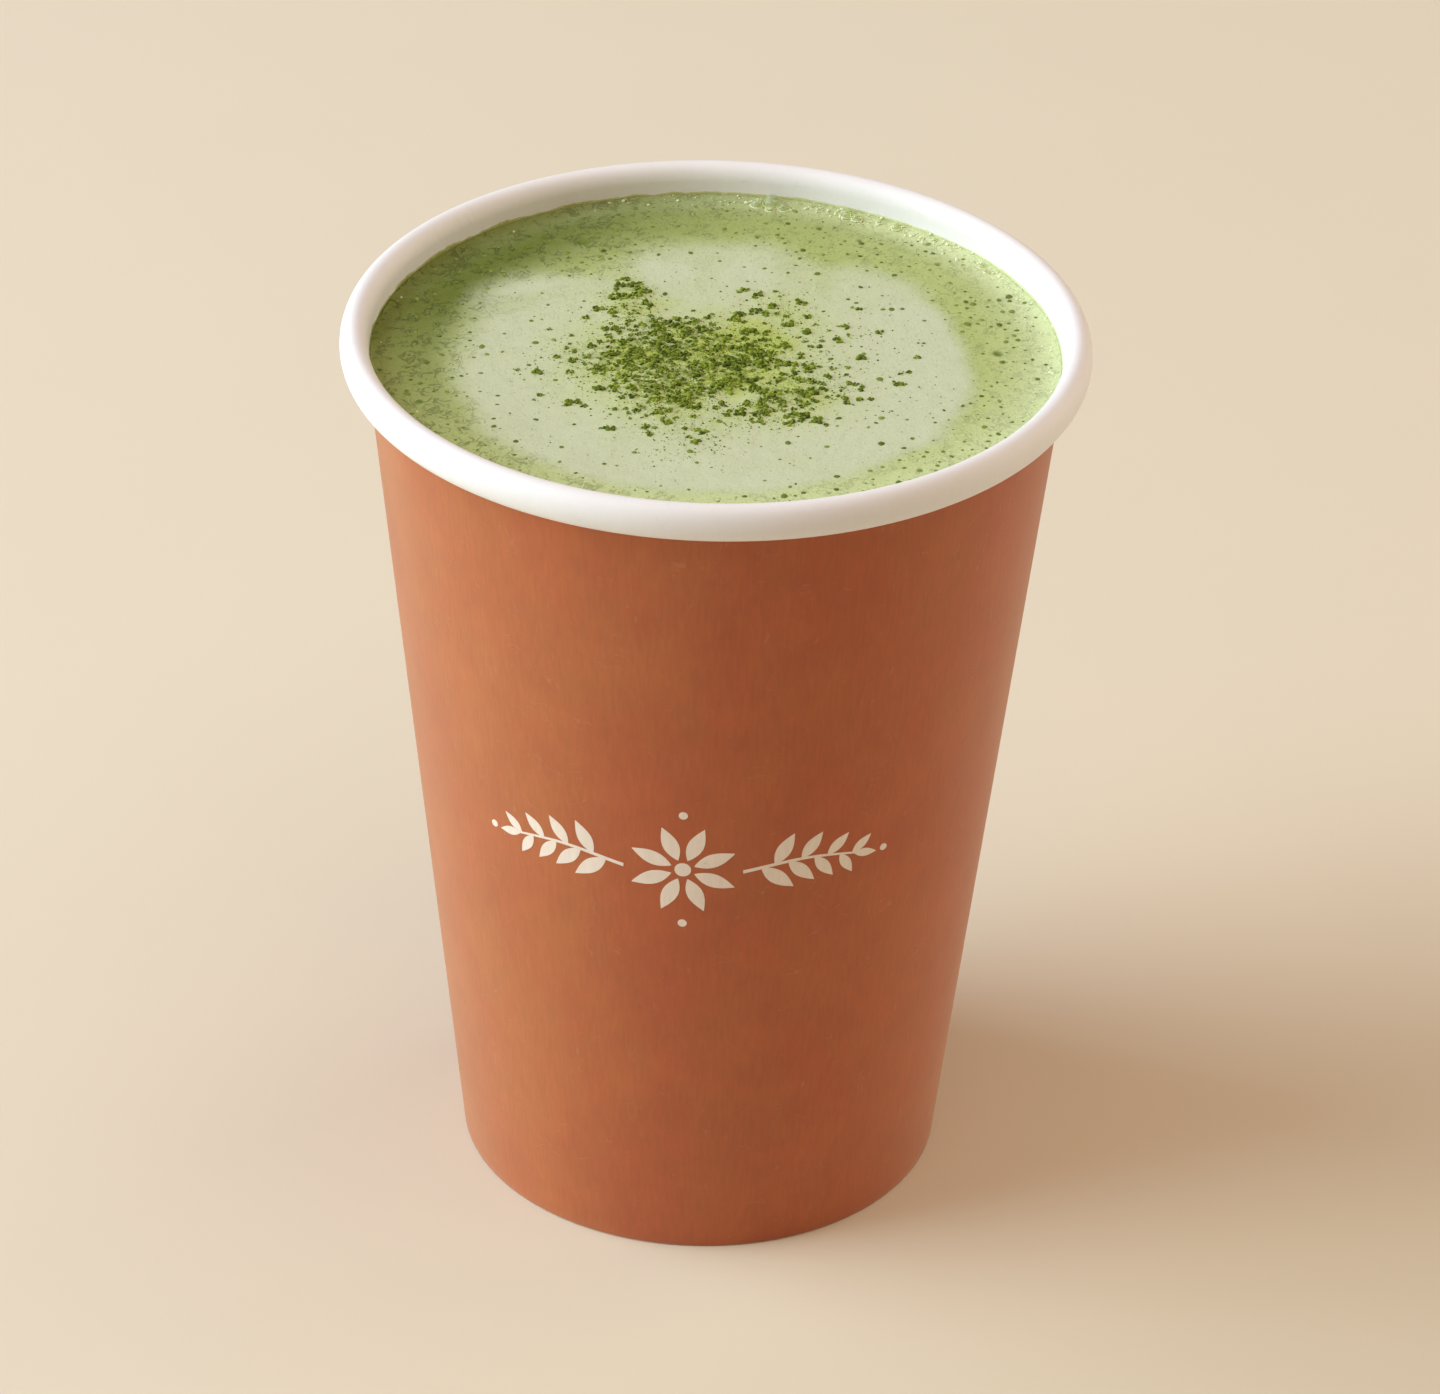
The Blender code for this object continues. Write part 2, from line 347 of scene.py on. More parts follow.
class Effects:
    """Shader node groups that more than one finish uses, each built once."""

    def __init__(self) -> None:
        """Builds every group."""
        self.board_fibre = self._board_fibre()
        self.froth = self._froth()
        self.matcha_tint = self._matcha_tint()

    @staticmethod
    def _board_fibre() -> NodeTree:
        """Paper board: a slow mottle, a faint upright grain and short pale fibres.

        Returns:
            A group that puts out Shade, about 1, and Height and Strands, from 0 to 1.
        """
        wiring = Wiring.group(
            "board_fibre",
            "ShaderNodeTree",
            {"Place": "Vector", "Mottle": "Float", "Grain": "Float", "Fibre": "Float"},
            {"Shade": "Float", "Height": "Float", "Strands": "Float"},
        )
        entry, where = wiring.entry, wiring.entry["Place"]
        mottle = wiring.noise(where, 130.0, 4.0, 0.6)
        grain = wiring.noise(wiring.stretched(where, 1.0, 1.0, 0.10), 2200.0, 3.0, 0.6)
        from_point = wiring.cells(wiring.stretched(where, 1.0, 1.0, 0.30), 620.0)[0]
        rare = wiring.step(wiring.noise(where, 420.0, 1.0), 0.60, 0.68)
        short = wiring.step(from_point, 0.16, 0.05) * rare
        apart = wiring.value("ShaderNodeVectorMath", {0: where, 1: (0.31, 0.17, 0.05)}, operation="ADD")
        off_line = wiring.math("ABSOLUTE", wiring.noise(apart, 300.0, 1.0, 0.5, 1.2) - 0.5)
        often = wiring.step(wiring.noise(where, 330.0), 0.54, 0.66)
        fibre = wiring.math("MAXIMUM", short, wiring.step(off_line, 0.011, 0.003) * often)
        shade = (mottle - 0.5) * entry["Mottle"] + (grain - 0.5) * entry["Grain"]
        shade = shade + fibre * entry["Fibre"] + 1.0
        return wiring.leave({"Shade": shade, "Height": fibre * 0.6 + grain, "Strands": fibre})

    @staticmethod
    def _froth() -> NodeTree:
        """Milk froth: tiny open bubbles of two sizes, and a crumpled skin between them.

        Returns:
            A group that puts out Spots and Crumple, both from 0 to 1.
        """
        wiring = Wiring.group(
            "froth",
            "ShaderNodeTree",
            {"Place": "Vector", "Scale": "Float", "Cover": "Float"},
            {"Spots": "Float", "Crumple": "Float"},
        )
        where, scale = wiring.entry["Place"], wiring.entry["Scale"]
        spots = []
        for ratio, largest in ((1.0, 0.30), (2.3, 0.42)):
            from_point, chance = wiring.cells(where, scale * ratio)
            picked, sized = (wiring.value("ShaderNodeSeparateColor", {0: chance}, i) for i in (0, 1))
            size = sized * largest
            spot = wiring.step(from_point, size, size * 0.45)
            spots.append(spot * wiring.math("LESS_THAN", picked, wiring.entry["Cover"]))
        folds = wiring.noise(where, scale * 0.42, 2.0, 0.5, 1.2)
        crease = wiring.math("SUBTRACT", 1.0, wiring.math("ABSOLUTE", folds * 13.0 - 6.5), clamp=True)
        kept = wiring.step(wiring.noise(where, scale * 0.36), 0.43, 0.57)
        return wiring.leave({"Spots": wiring.math("MAXIMUM", *spots), "Crumple": crease * kept})

    @staticmethod
    def _matcha_tint() -> NodeTree:
        """The drink's colour between its green foam and its pale milk, with painted shade, partly a deeper
        green, and painted light on the green.

        Returns:
            A group that puts out Tint.
        """
        layers = {"Shade and Deepen": "Shaded Deep Green", "Painted Light": "Lit Green", "Milk": "Pale"}
        inputs = {"Green": "Color", **dict.fromkeys(layers, "Float")}
        inputs |= dict.fromkeys(layers.values(), "Color")
        wiring = Wiring.group("matcha_tint", "ShaderNodeTree", inputs, {"Tint": "Color"})
        tint = wiring.entry["Green"]
        for share, tone in layers.items():
            tint = wiring.blend(wiring.entry[share], tint, wiring.entry[tone])
        return wiring.leave({"Tint": tint})


class Finish(Wiring):
    """A material being made, and the wiring before its Principled shader."""

    def __init__(self, name: str, constants: dict[str, Source]) -> None:
        """Starts the material.

        Args:
            name: the material's name.
            constants: shader inputs that are the same all over, by socket name.
        """
        self.material = bpy.data.materials.new(name)
        self.material.use_nodes = True
        super().__init__(self.material.node_tree)
        self.drive(constants)

    def drive(self, inputs: dict[str, Source]) -> None:
        """Feeds some of the shader's inputs."""
        for name, value in inputs.items():
            feed(self.tree.nodes["Principled BSDF"].inputs[name], value)

    def bump(self, height: Value, distance: float, strength: float = 1.0) -> None:
        """Feeds the shader's normal from a height."""
        inputs = {"Height": height, "Distance": distance, "Strength": strength}
        self.drive({"Normal": self.value("ShaderNodeBump", inputs)})


@dataclass(frozen=True)
class BoardFinish:
    """Paper board, bare or under ink."""

    name: str
    colour: Colour
    roughness: float
    mottle: float
    grain: float
    fibre: float
    relief: float
    patchy_and_lit: Colour | None = None
    strands: Colour | None = None
    raw_edge: Colour | None = None
    sheen: float = 0.0
    gloss: float = 0.35
    patch_size: float = 75.0
    # where the painted light on the lit left side fades in
    lit_side_from: float = 8.0 * MM
    lit_side_to: float = -32.0 * MM
    strand_strength: float = 0.10
    wear: float = 0.12

    def build(self, effects: Effects) -> Material:
        """Makes the material.

        Args:
            effects: the shared groups.

        Returns:
            The material.
        """
        constants = {"Specular IOR Level": self.gloss, "Sheen Weight": self.sheen}
        constants |= {"Sheen Roughness": 0.42, "Sheen Tint": (1.0, 0.95, 0.80, 1.0)}
        finish = Finish(self.name, constants)
        where = finish.place()
        inputs = {"Mottle": self.mottle, "Grain": self.grain, "Fibre": self.fibre}
        fibre = finish.use(effects.board_fibre, {"Place": where, **inputs})
        ink = linear(self.colour)[:3]
        if self.patchy_and_lit is not None:
            # random patches of a second ink tone, and painted light: the same tone laid over the lit left
            # side
            upright = finish.stretched(where, 1.0, 1.0, 0.6)
            patches = finish.step(finish.noise(upright, self.patch_size, 5.0, 0.66), 0.34, 0.68)
            # painted light: the left side, which the key light faces, shifts towards the lighter tone
            drift = finish.step(finish.axis(where, 0), self.lit_side_from, self.lit_side_to)
            share = drift * 0.5 + patches * 0.45
            ink = finish.blend(share, linear(self.colour), linear(self.patchy_and_lit))
        colour = finish.scaled(ink, fibre["Shade"])
        if self.strands is not None:
            colour = finish.blend(fibre["Strands"] * self.strand_strength, colour, linear(self.strands))
        if self.raw_edge is not None:
            colour = finish.blend(finish.attribute(Mask.RAW_EDGE), colour, linear(self.raw_edge))
        worn = (fibre["Height"] - 0.5) * self.wear + self.roughness
        finish.drive({"Base Color": colour, "Roughness": worn})
        finish.bump(fibre["Height"], self.relief)
        return finish.material


@dataclass(frozen=True)
class Greens:
    """The drink's colours, which its masks blend: the shaded deep green stands for painted shade, partly the
    foam's own deeper green, and the lit green for painted light.
    """

    green: Colour
    shaded_deep_green: Colour
    lit_green: Colour
    pale: Colour

    def tint(self, finish: Finish, effects: Effects, milk: Value) -> Value:
        """Blends the colours in a material.

        Args:
            finish: the material being made.
            effects: the shared groups.
            milk: how milky the foam is, from 0 to 1.

        Returns:
            The blended colour.
        """
        inputs = {
            "Milk": milk,
            "Shade and Deepen": finish.attribute(Mask.SHADE_AND_DEEPEN),
            "Painted Light": finish.attribute(Mask.LIGHTEN),
            "Green": linear(self.green),
            "Shaded Deep Green": linear(self.shaded_deep_green),
            "Lit Green": linear(self.lit_green),
            "Pale": linear(self.pale),
        }
        return finish.use(effects.matcha_tint, inputs)["Tint"]


# In each Greens, the second colour is painted shade, partly a deeper green, and the third is painted light.
FOAM_GREENS = Greens(
    (0.700, 0.762, 0.468), (0.425, 0.482, 0.205), (0.810, 0.860, 0.650), (0.806, 0.845, 0.708)
)
FILM_GREENS = Greens((0.74, 0.77, 0.47), (0.62, 0.64, 0.34), (0.84, 0.87, 0.66), (0.84, 0.87, 0.66))
BUBBLE_GREENS = Greens((0.86, 0.89, 0.70), (0.80, 0.84, 0.60), (0.92, 0.94, 0.80), (0.92, 0.94, 0.80))


@dataclass(frozen=True)
class FoamFinish:
    """The drink's foam: green at the wall, pale in the middle, dusted with powder."""

    greens: Greens = FOAM_GREENS
    dust: Colour = (0.716, 0.785, 0.320)
    thick_dust: Colour = (0.380, 0.455, 0.135)
    pit: Colour = (0.420, 0.500, 0.190)
    roughness: float = 0.42
    bubble_scale: float = 1500.0
    creased_from: float = 10.0 * MM
    creased_to: float = -24.0 * MM
    relief: float = 0.08 * MM
    relief_strength: float = 0.75
    open_strength: float = 0.55
    clouds: float = 0.30
    heap_strength: float = 0.6

    def build(self, effects: Effects) -> Material:
        """Makes the material.

        Args:
            effects: the shared groups.

        Returns:
            The material.
        """
        finish = Finish("matcha_foam", {"Specular IOR Level": 0.28, "IOR": 1.36})
        where = finish.place()
        milk = finish.attribute(Mask.MILK)
        ring = finish.math("SUBTRACT", 1.0, milk, clamp=True)
        inputs = {"Place": where, "Scale": self.bubble_scale, "Cover": ring * 0.30 + 0.12}
        froth = finish.use(effects.froth, inputs)
        leftwards = finish.step(finish.axis(where, 0), self.creased_from, self.creased_to)
        crumple = froth["Crumple"] * (leftwards * 0.52 + 0.48)
        clouded = (finish.noise(where, 240.0, 5.0, 0.62) - 0.5) * self.clouds + milk
        clouded = finish.math("MAXIMUM", clouded, 0.0, clamp=True)
        tint = self.greens.tint(finish, effects, clouded)
        hollow = finish.attribute(Mask.HOLLOW)
        open_skin = finish.math("MAXIMUM", froth["Spots"] * self.open_strength, hollow)
        dusted = self._dusted(finish, where, finish.blend(open_skin, tint, linear(self.pit)))
        fleck = finish.noise(where, 2600.0, 2.0, 0.6)
        lively = (fleck - 0.5) * (ring * 0.25 + 0.13) + 1.0
        # painted shade in the foam's creases: the colour darkens where they fold
        lively = (0.08 - crumple) * (ring * 0.40 + 0.05) + lively
        worn = finish.attribute(Mask.DUST) * 0.35 + self.roughness
        finish.drive({"Base Color": finish.scaled(dusted, lively), "Roughness": worn})
        folded = crumple * (ring * 1.15 + 0.2)
        finish.bump(fleck - folded - froth["Spots"] * 0.8, self.relief, self.relief_strength)
        return finish.material

    def _dusted(self, finish: Finish, where: Value, below: Value) -> Value:
        """Lays fine powder over the foam's colour, darker where it lies thick.

        Args:
            finish: the material being made.
            where: Object coordinates.
            below: the foam's colour.

        Returns:
            The dusted colour.
        """
        speckle = finish.step(finish.noise(where, 2100.0, 3.0, 0.7), 0.62, 0.36)
        sifted = finish.attribute(Mask.DUST) * (speckle * 0.42 + 0.58)
        lime = finish.blend(sifted, below, linear(self.dust))
        crumbs = finish.step(finish.noise(where, 1300.0, 4.0, 0.65), 0.40, 0.60)
        heaped = finish.math("POWER", finish.attribute(Mask.POWDER), 1.8) * crumbs
        return finish.blend(heaped * self.heap_strength, lime, linear(self.thick_dust))


@dataclass(frozen=True)
class GrainFinish:
    """Matcha powder, whose grains differ in tone."""

    name: str
    dark: Colour
    light: Colour
    roughness: float = 0.85
    relief: float = 0.02 * MM

    def build(self) -> Material:
        """Makes the material.

        Returns:
            The material.
        """
        finish = Finish(self.name, {"Specular IOR Level": 0.2, "Roughness": self.roughness})
        crumb = finish.noise(finish.place(), 5200.0)
        varied = (crumb - 0.5) * 0.7 + finish.attribute(Mask.TONE)
        held = finish.math("MAXIMUM", varied, 0.0, clamp=True)
        finish.drive({"Base Color": finish.blend(held, linear(self.dark), linear(self.light))})
        finish.bump(crumb, self.relief)
        return finish.material


@dataclass(frozen=True)
class BubbleFinish:
    """The clear wet skin of a bubble."""

    colour: Colour = (0.90, 0.93, 0.78)
    ior: float = 1.04
    clear: float = 0.74
    coat_ior: float = 1.34

    def build(self) -> Material:
        """Makes the material.

        Returns:
            The material.
        """
        constants = {"IOR": self.ior, "Transmission Weight": self.clear, "Specular IOR Level": 0.5}
        constants |= {"Coat Weight": 1.0, "Coat Roughness": 0.04, "Coat IOR": self.coat_ior}
        finish = Finish("bubble_skin", constants)
        cloud = finish.noise(finish.place(), 2400.0)
        tint = finish.scaled(linear(self.colour)[:3], cloud * 0.16 + 0.92)
        finish.drive({"Base Color": tint, "Roughness": cloud * 0.10 + 0.02})
        return finish.material


@dataclass(frozen=True)
class FilmFinish:
    """The thin wet foam at the wall above the drink."""

    name: str
    greens: Greens
    bubble_scale: float = 1900.0
    cover: float = 0.6
    relief: float = 0.03 * MM

    def build(self, effects: Effects) -> Material:
        """Makes the material.

        Args:
            effects: the shared groups.

        Returns:
            The material.
        """
        finish = Finish(self.name, {"Specular IOR Level": 0.5, "IOR": 1.36})
        inputs = {"Place": finish.place(), "Scale": self.bubble_scale, "Cover": self.cover}
        crumple = finish.use(effects.froth, inputs)["Crumple"]
        tint = self.greens.tint(finish, effects, crumple * 0.30)
        finish.drive({"Base Color": tint, "Roughness": crumple * 0.2 + 0.25})
        finish.bump(crumple, self.relief)
        return finish.material


def new_object(name: str, mesh: Mesh) -> Object:
    """Puts a mesh in the scene under a name.

    Args:
        name: the object's and the mesh's name.
        mesh: its mesh.

    Returns:
        The object.
    """
    mesh.name = name
    made = bpy.data.objects.new(name, mesh)
    bpy.context.scene.collection.objects.link(made)
    return made


def mesh_of(name: str, points: ndarray, faces: Sequence[Sequence[int]]) -> Mesh:
    """Makes a mesh from points and faces.

    Args:
        name: the mesh's name.
        points: rows of x, y and z.
        faces: the numbers of each face's points.

    Returns:
        The mesh.
    """
    mesh = bpy.data.meshes.new(name)
    mesh.from_pydata(points.tolist(), [], faces)
    mesh.update()
    return mesh


def modelled(name: str, model: Callable[[BMesh], object]) -> Mesh:
    """Makes a mesh with bmesh.

    Args:
        name: the mesh's name.
        model: fills the bmesh that it is given.

    Returns:
        The mesh.
    """
    bm = bmesh.new()
    model(bm)
    mesh = bpy.data.meshes.new(name)
    bm.to_mesh(mesh)
    bm.free()
    return mesh


def united(name: str, parts: Sequence[Mesh]) -> Mesh:
    """Makes one mesh of several, with the points that lie on each other merged.

    Args:
        name: the mesh's name.
        parts: closed shells that don't touch.

    Returns:
        The mesh, its faces pointing outwards.
    """

    def model(bm: BMesh) -> None:
        """Gathers the parts.

        Args:
            bm: the bmesh to fill.
        """
        for part in parts:
            bm.from_mesh(part)
        bmesh.ops.remove_doubles(bm, verts=bm.verts, dist=WELD_DISTANCE)
        bmesh.ops.recalc_face_normals(bm, faces=bm.faces)

    return modelled(name, model)


def store(mesh: Mesh, name: str, values: ndarray) -> None:
    """Stores a value for each point of a mesh."""
    attribute = mesh.attributes.new(name, "FLOAT", "POINT")
    attribute.data.foreach_set("value", values.astype(np.float32))


def polar(radius: ndarray, angle: ndarray, z: ndarray) -> ndarray:
    """Points at a radius, an angle and a height, with x, y and z as the last axis."""
    x, y = radius * np.cos(angle), radius * np.sin(angle)
    return np.stack([x, y, z + np.zeros_like(x)], axis=-1)


def lofted(name: str, points: ndarray, closed: bool = True) -> Mesh:
    """Skins the copies of a section that go once round.

    Args:
        name: the mesh's name.
        points: an array of copies by points by x, y and z.
        closed: whether the section is a loop.

    Returns:
        The smooth mesh.
    """
    here = np.arange(points.shape[0] * points.shape[1]).reshape(points.shape[:2])
    below = np.roll(here, -1, axis=1)
    quads = np.stack([here, below, np.roll(below, -1, axis=0), np.roll(here, -1, axis=0)], axis=-1)
    if not closed:
        quads = quads[:, :-1]
    mesh = mesh_of(name, points.reshape(-1, 3), quads.reshape(-1, 4).tolist())
    mesh.shade_smooth()
    return mesh


def oval(centre: Pair, half: Pair, start: float, end: float, steps: int) -> list[Pair]:
    """Points along an oval's arc.

    Args:
        centre: the oval's centre, as (radius, height).
        half: half its width and half its height.
        start: the first angle, in degrees.
        end: the last angle, in degrees.
        steps: how many steps between them.

    Returns:
        The points, first to last.
    """
    angles = np.radians(np.linspace(start, end, steps + 1))
    return [(centre[0] + half[0] * math.cos(a), centre[1] + half[1] * math.sin(a)) for a in angles]


def place_piece(piece: Object, finish: Material, stands_for: Sequence[str] = ()) -> None:
    """Dresses a finished piece and ties it to the cup's body.

    Args:
        piece: the finished mesh object.
        finish: its material.
        stands_for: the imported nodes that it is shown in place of.
    """
    piece.data.materials.clear()
    piece.data.materials.append(finish)
    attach(piece, BODY)
    if stands_for:
        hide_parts(*stands_for)
    triangles = sum(len(face.vertices) - 2 for face in piece.data.polygons)
    LOG.info("%s: %d triangles", piece.name, triangles)


WHITE_BOARD = BoardFinish(
    "white_board", (0.950, 0.947, 0.942), 0.48, mottle=0.06, grain=0.05, fibre=-0.05, relief=0.010 * MM
)
TERRACOTTA_PRINT = BoardFinish(
    name="terracotta_print",
    colour=(0.702, 0.336, 0.168),
    roughness=0.60,
    mottle=0.30,
    grain=0.34,
    fibre=0.0,
    relief=0.02 * MM,
    # the lighter tone, for random patches and for the painted light on the left side
    patchy_and_lit=(0.708, 0.408, 0.198),
    strands=(0.93, 0.74, 0.62),
    raw_edge=(0.93, 0.90, 0.86),
    sheen=0.42,
    gloss=0.5,
)
CREAM_PRINT = BoardFinish(
    name="cream_print",
    colour=(0.950, 0.900, 0.850),
    roughness=0.66,
    mottle=0.14,
    grain=0.20,
    fibre=-0.10,
    relief=0.015 * MM,
    sheen=0.2,
)


@dataclass
class PaperCup:
    """The cup: its white board, the print on it and its recessed floor."""

    height: float
    rim_radius: float
    base_radius: float = 30.0 * MM
    wall_top_radius: float = 42.3 * MM
    board: float = 0.45 * MM
    clearance: float = 0.3 * MM
    ink: float = 0.03 * MM
    ink_depth: float = 0.04 * MM
    roll_half_height: float = 2.3 * MM
    roll_start: float = 180.0
    roll_end: float = -128.0
    under_roll: float = 2.2 * MM
    foot_rounding: float = 0.3 * MM
    floor_top: float = 8.2 * MM
    floor_corner: float = 0.9 * MM
    floor_flat: float = 28.0 * MM
    fold_height: float = 6.6 * MM
    fold_bevel: float = 0.1 * MM
    seam_start: float = 83.5
    seam_end: float = 96.5
    seam_step: float = 0.3 * MM
    seam_foot: float = 0.6 * MM
    seam_angles: tuple[float, ...] = (-0.6, -0.2, 0.0, 0.08, 0.5)
    raw_edge_at: float = 0.06
    raw_edge_reach: float = 0.075
    inner_start: float = 2.0 * MM
    turns: int = 288
    floor_turns: int = 192
    outer_rows: int = 40
    print_rows: int = 90
    inner_rows: int = 30

    @classmethod
    def from_frame(cls) -> PaperCup:
        """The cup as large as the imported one."""
        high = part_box("cup_wall")[1]
        return cls(height=high[2], rim_radius=high[0])

    @property
    def slope(self) -> float:
        """How much the wall's radius grows for each metre up."""
        return (self.wall_top_radius - self.base_radius) / self.height

    @property
    def roll_bottom(self) -> float:
        """Height of the roll's lower edge."""
        return self.height - 2 * self.roll_half_height

    def outer(self, z: float) -> float:
        """Radius of the wall's printed face at a height."""
        return self.base_radius + self.slope * z

    def inner(self, z: float) -> float:
        """Radius of the wall's inner face at a height."""
        return self.outer(z) - self.board * math.hypot(1.0, self.slope)

    def flange_outer(self, z: float) -> float:
        """Outer radius of the floor's flange at a height."""
        return self.inner(z) - self.clearance

    def fold_outer(self, z: float) -> float:
        """Outer radius of the wall's fold, inside the flange, at a height."""
        return self.flange_outer(z) - self.board - self.clearance

    def lap(self, angle: ndarray, z: ndarray) -> ndarray:
        """How far the lapped edge stands out: a slow rise, then a sharp step down.

        Args:
            angle: the angle of each point, in radians.
            z: its height.

        Returns:
            How far out each point moves.
        """
        across = (np.degrees(angle) - self.seam_start) / (self.seam_end - self.seam_start)
        raised = np.where((across >= 0) & (across <= 1.0001), across, 0.0)
        return self.seam_step * raised * smooth((z - self.foot_rounding) / self.seam_foot)

    def printed_side(self, inset: float, steps: int) -> list[Pair]:
        """The wall's outer side from just under the roll to the foot, set in by a little."""
        heights = np.linspace(self.roll_bottom + self.under_roll, self.foot_rounding, steps)
        return [(self.outer(z) - inset, z) for z in heights[1:]]

    def turned(self, name: str, profile: Sequence[Pair], lapped: int) -> Mesh:
        """Turns a looped section about Z.

        Args:
            name: the mesh's name.
            profile: (radius, height) points, which run down the outer side.
            lapped: how many of them, from the first, follow the lap.

        Returns:
            The closed shell, with more points at the lap's sharp edge.
        """
        even = np.linspace(0.0, 360.0, self.turns, endpoint=False)
        sharp = self.seam_end + np.array(self.seam_angles)
        angles = np.radians(np.unique(np.concatenate([even, [self.seam_start], sharp])))
        radius, height = (np.array(values) for values in zip(*profile))
        angle, high = np.meshgrid(angles, height, indexing="ij")
        push = self.lap(angle, high)
        push[:, lapped:] = 0.0
        return lofted(name, polar(radius + push, angle, high))

    def wall_mesh(self) -> Mesh:
        """The board itself: outer side, foot, fold, inner side and roll.

        Returns:
            The mesh.
        """
        roll_z = self.height - self.roll_half_height
        half = ((self.rim_radius - self.inner(roll_z)) / 2, self.roll_half_height)
        centre = (self.rim_radius - half[0], roll_z)
        board, foot = self.board, self.foot_rounding
        top, bevelled = self.fold_height, self.fold_height - self.fold_bevel
        under = [
            (self.outer(0.0) - 0.3 * foot, 0.3 * foot),
            (self.outer(0.0) - foot, 0.0),
            (self.fold_outer(0.0) - board + foot, 0.0),
            (self.fold_outer(foot) - board, foot),
            (self.fold_outer(top) - board, bevelled),
            (self.fold_outer(top) - board / 2, top),
            (self.fold_outer(top), bevelled),
            (self.fold_outer(board), board),
            (self.inner(board), board),
        ]
        heights = np.linspace(self.inner_start, self.roll_bottom, self.inner_rows)
        inside = [(self.inner(z), z) for z in heights]
        over = oval(centre, half, self.roll_start, self.roll_end, 44)
        back = oval(centre, (half[0] - board, half[1] - board), self.roll_end, self.roll_start, 30)
        outside = self.printed_side(self.ink, self.outer_rows)
        return self.turned("cup_board", outside + under + inside + over + back, len(outside))

    def print_mesh(self) -> Mesh:
        """The printed skin over the wall's outer side, which marks the lap's raw edge.

        Returns:
            The mesh.
        """
        low = 0.25 * self.foot_rounding
        outside = [*self.printed_side(0.0, self.print_rows), (self.outer(0.0) - low, low)]
        inside = [(r - self.ink_depth, z) for r, z in reversed(outside)]
        mesh = self.turned("cup_print", outside + inside, len(outside + inside))
        points = np.array([v.co for v in mesh.vertices])
        degrees = np.degrees(np.arctan2(points[:, 1], points[:, 0]))
        from_edge = np.abs(degrees - self.seam_end - self.raw_edge_at)
        store(mesh, Mask.RAW_EDGE.value, (from_edge < self.raw_edge_reach).astype(float))
        return mesh

    def floor_mesh(self) -> Mesh:
        """The floor, a shallow pan set in upside down.

        Returns:
            The mesh.
        """
        bend, foot = self.floor_top - self.floor_corner, self.board + self.clearance
        centre = (self.flange_outer(bend) - self.floor_corner, bend)
        tight = self.floor_corner - self.board
        rings = [(r, self.floor_top) for r in np.linspace(0.0, self.floor_flat, 8)]
        profile = rings + oval(centre, (self.floor_corner, self.floor_corner), 90.0, 0.0, 8)
        profile += [(self.flange_outer(foot), foot), (self.flange_outer(foot) - self.board, foot)]
        profile += oval(centre, (tight, tight), 0.0, 90.0, 6)
        profile += [(r, z - self.board) for r, z in reversed(rings)]
        radius, height = (np.array(values) for values in zip(*profile))
        angles = np.radians(np.linspace(0.0, 360.0, self.floor_turns, endpoint=False))[:, None]
        return united("cup_floor_pan", [lofted("pan", polar(radius, angles, height), closed=False)])

    def build(self, effects: Effects) -> None:
        """Makes and dresses the cup's pieces.

        Args:
            effects: the shared shader groups.
        """
        white = WHITE_BOARD.build(effects)
        pieces = (
            ("cup_board", self.wall_mesh(), white, Slot.WHITE_BOARD, "cup_wall"),
            ("cup_print", self.print_mesh(), TERRACOTTA_PRINT.build(effects), Slot.PRINTED_BOARD, "cup_wall"),
            ("cup_floor_pan", self.floor_mesh(), white, Slot.WHITE_BOARD, "cup_floor"),
        )
        for name, mesh, finish, slot, node in pieces:
            place_piece(new_object(name, mesh), finish, [node])


@dataclass(frozen=True)
class Drift:
    """A soft round patch."""

    x: float
    y: float
    spread: float
    share: float

    def at(self, places: Places) -> ndarray:
        """How much of the patch lies at each place."""
        return self.share * bell(places.away(self.x, self.y) / self.spread)


@dataclass(frozen=True)
class Stroke:
    """A soft bent stroke from one place to another."""

    start: Pair
    bend: Pair
    end: Pair
    width: float
    share: float

    def at(self, places: Places) -> ndarray:
        """How much of the stroke lies at each place, fading at its ends.

        Args:
            places: where it is asked for.

        Returns:
            The stroke's share of each place.
        """
        best = np.zeros_like(places.x)
        corners = np.array([self.start, self.bend, self.end])
        for t in np.linspace(0.0, 1.0, 25):
            x, y = np.array([(1 - t) * (1 - t), 2 * t * (1 - t), t * t]) @ corners
            faded = math.sin(math.pi * (0.1 + 0.8 * t))
            best = np.maximum(best, faded * bell(places.away(x, y) / self.width))
        return self.share * best


@dataclass(frozen=True)
class Notch:
    """A dip in the milk patch's outline."""

    angle: float
    spread: float
    depth: float

    def at(self, places: Places) -> ndarray:
        """How deep the dip is at each place."""
        return self.depth * places.towards(self.angle, self.spread)


@dataclass(frozen=True)
class RingTone:
    """A painted tone of the foam near the wall, strongest at one angle: painted shade, partly a deeper green,
    or painted light.
    """

    angle: float
    spread: float
    starts: float
    full: float
    share: float

    def at(self, places: Places) -> ndarray:
        """How strong the tone is at each place."""
        outwards = smooth((places.radius - self.starts) / (self.full - self.starts))
        return self.share * outwards * places.towards(self.angle, self.spread)


@dataclass(frozen=True)
class Hollow:
    """A large burst bubble in the foam."""

    x: float
    y: float
    radius: float

    def at(self, places: Places) -> ndarray:
        """1 inside the hollow, fading out over its brim."""
        return smooth((1.25 - places.away(self.x, self.y) / self.radius) / 0.6)


Mark = Drift | Stroke | Notch | RingTone | Hollow


def marks(kind: type[Mark], *rows: tuple) -> tuple[Mark, ...]:
    """Marks of one kind, each from a row of its values."""
    return tuple(kind(*row) for row in rows)


def laid(kept: Sequence[Mark], places: Places) -> ndarray:
    """What the marks come to at each place, from 0 to 1."""
    return np.clip(sum(mark.at(places) for mark in kept), 0.0, 1.0)


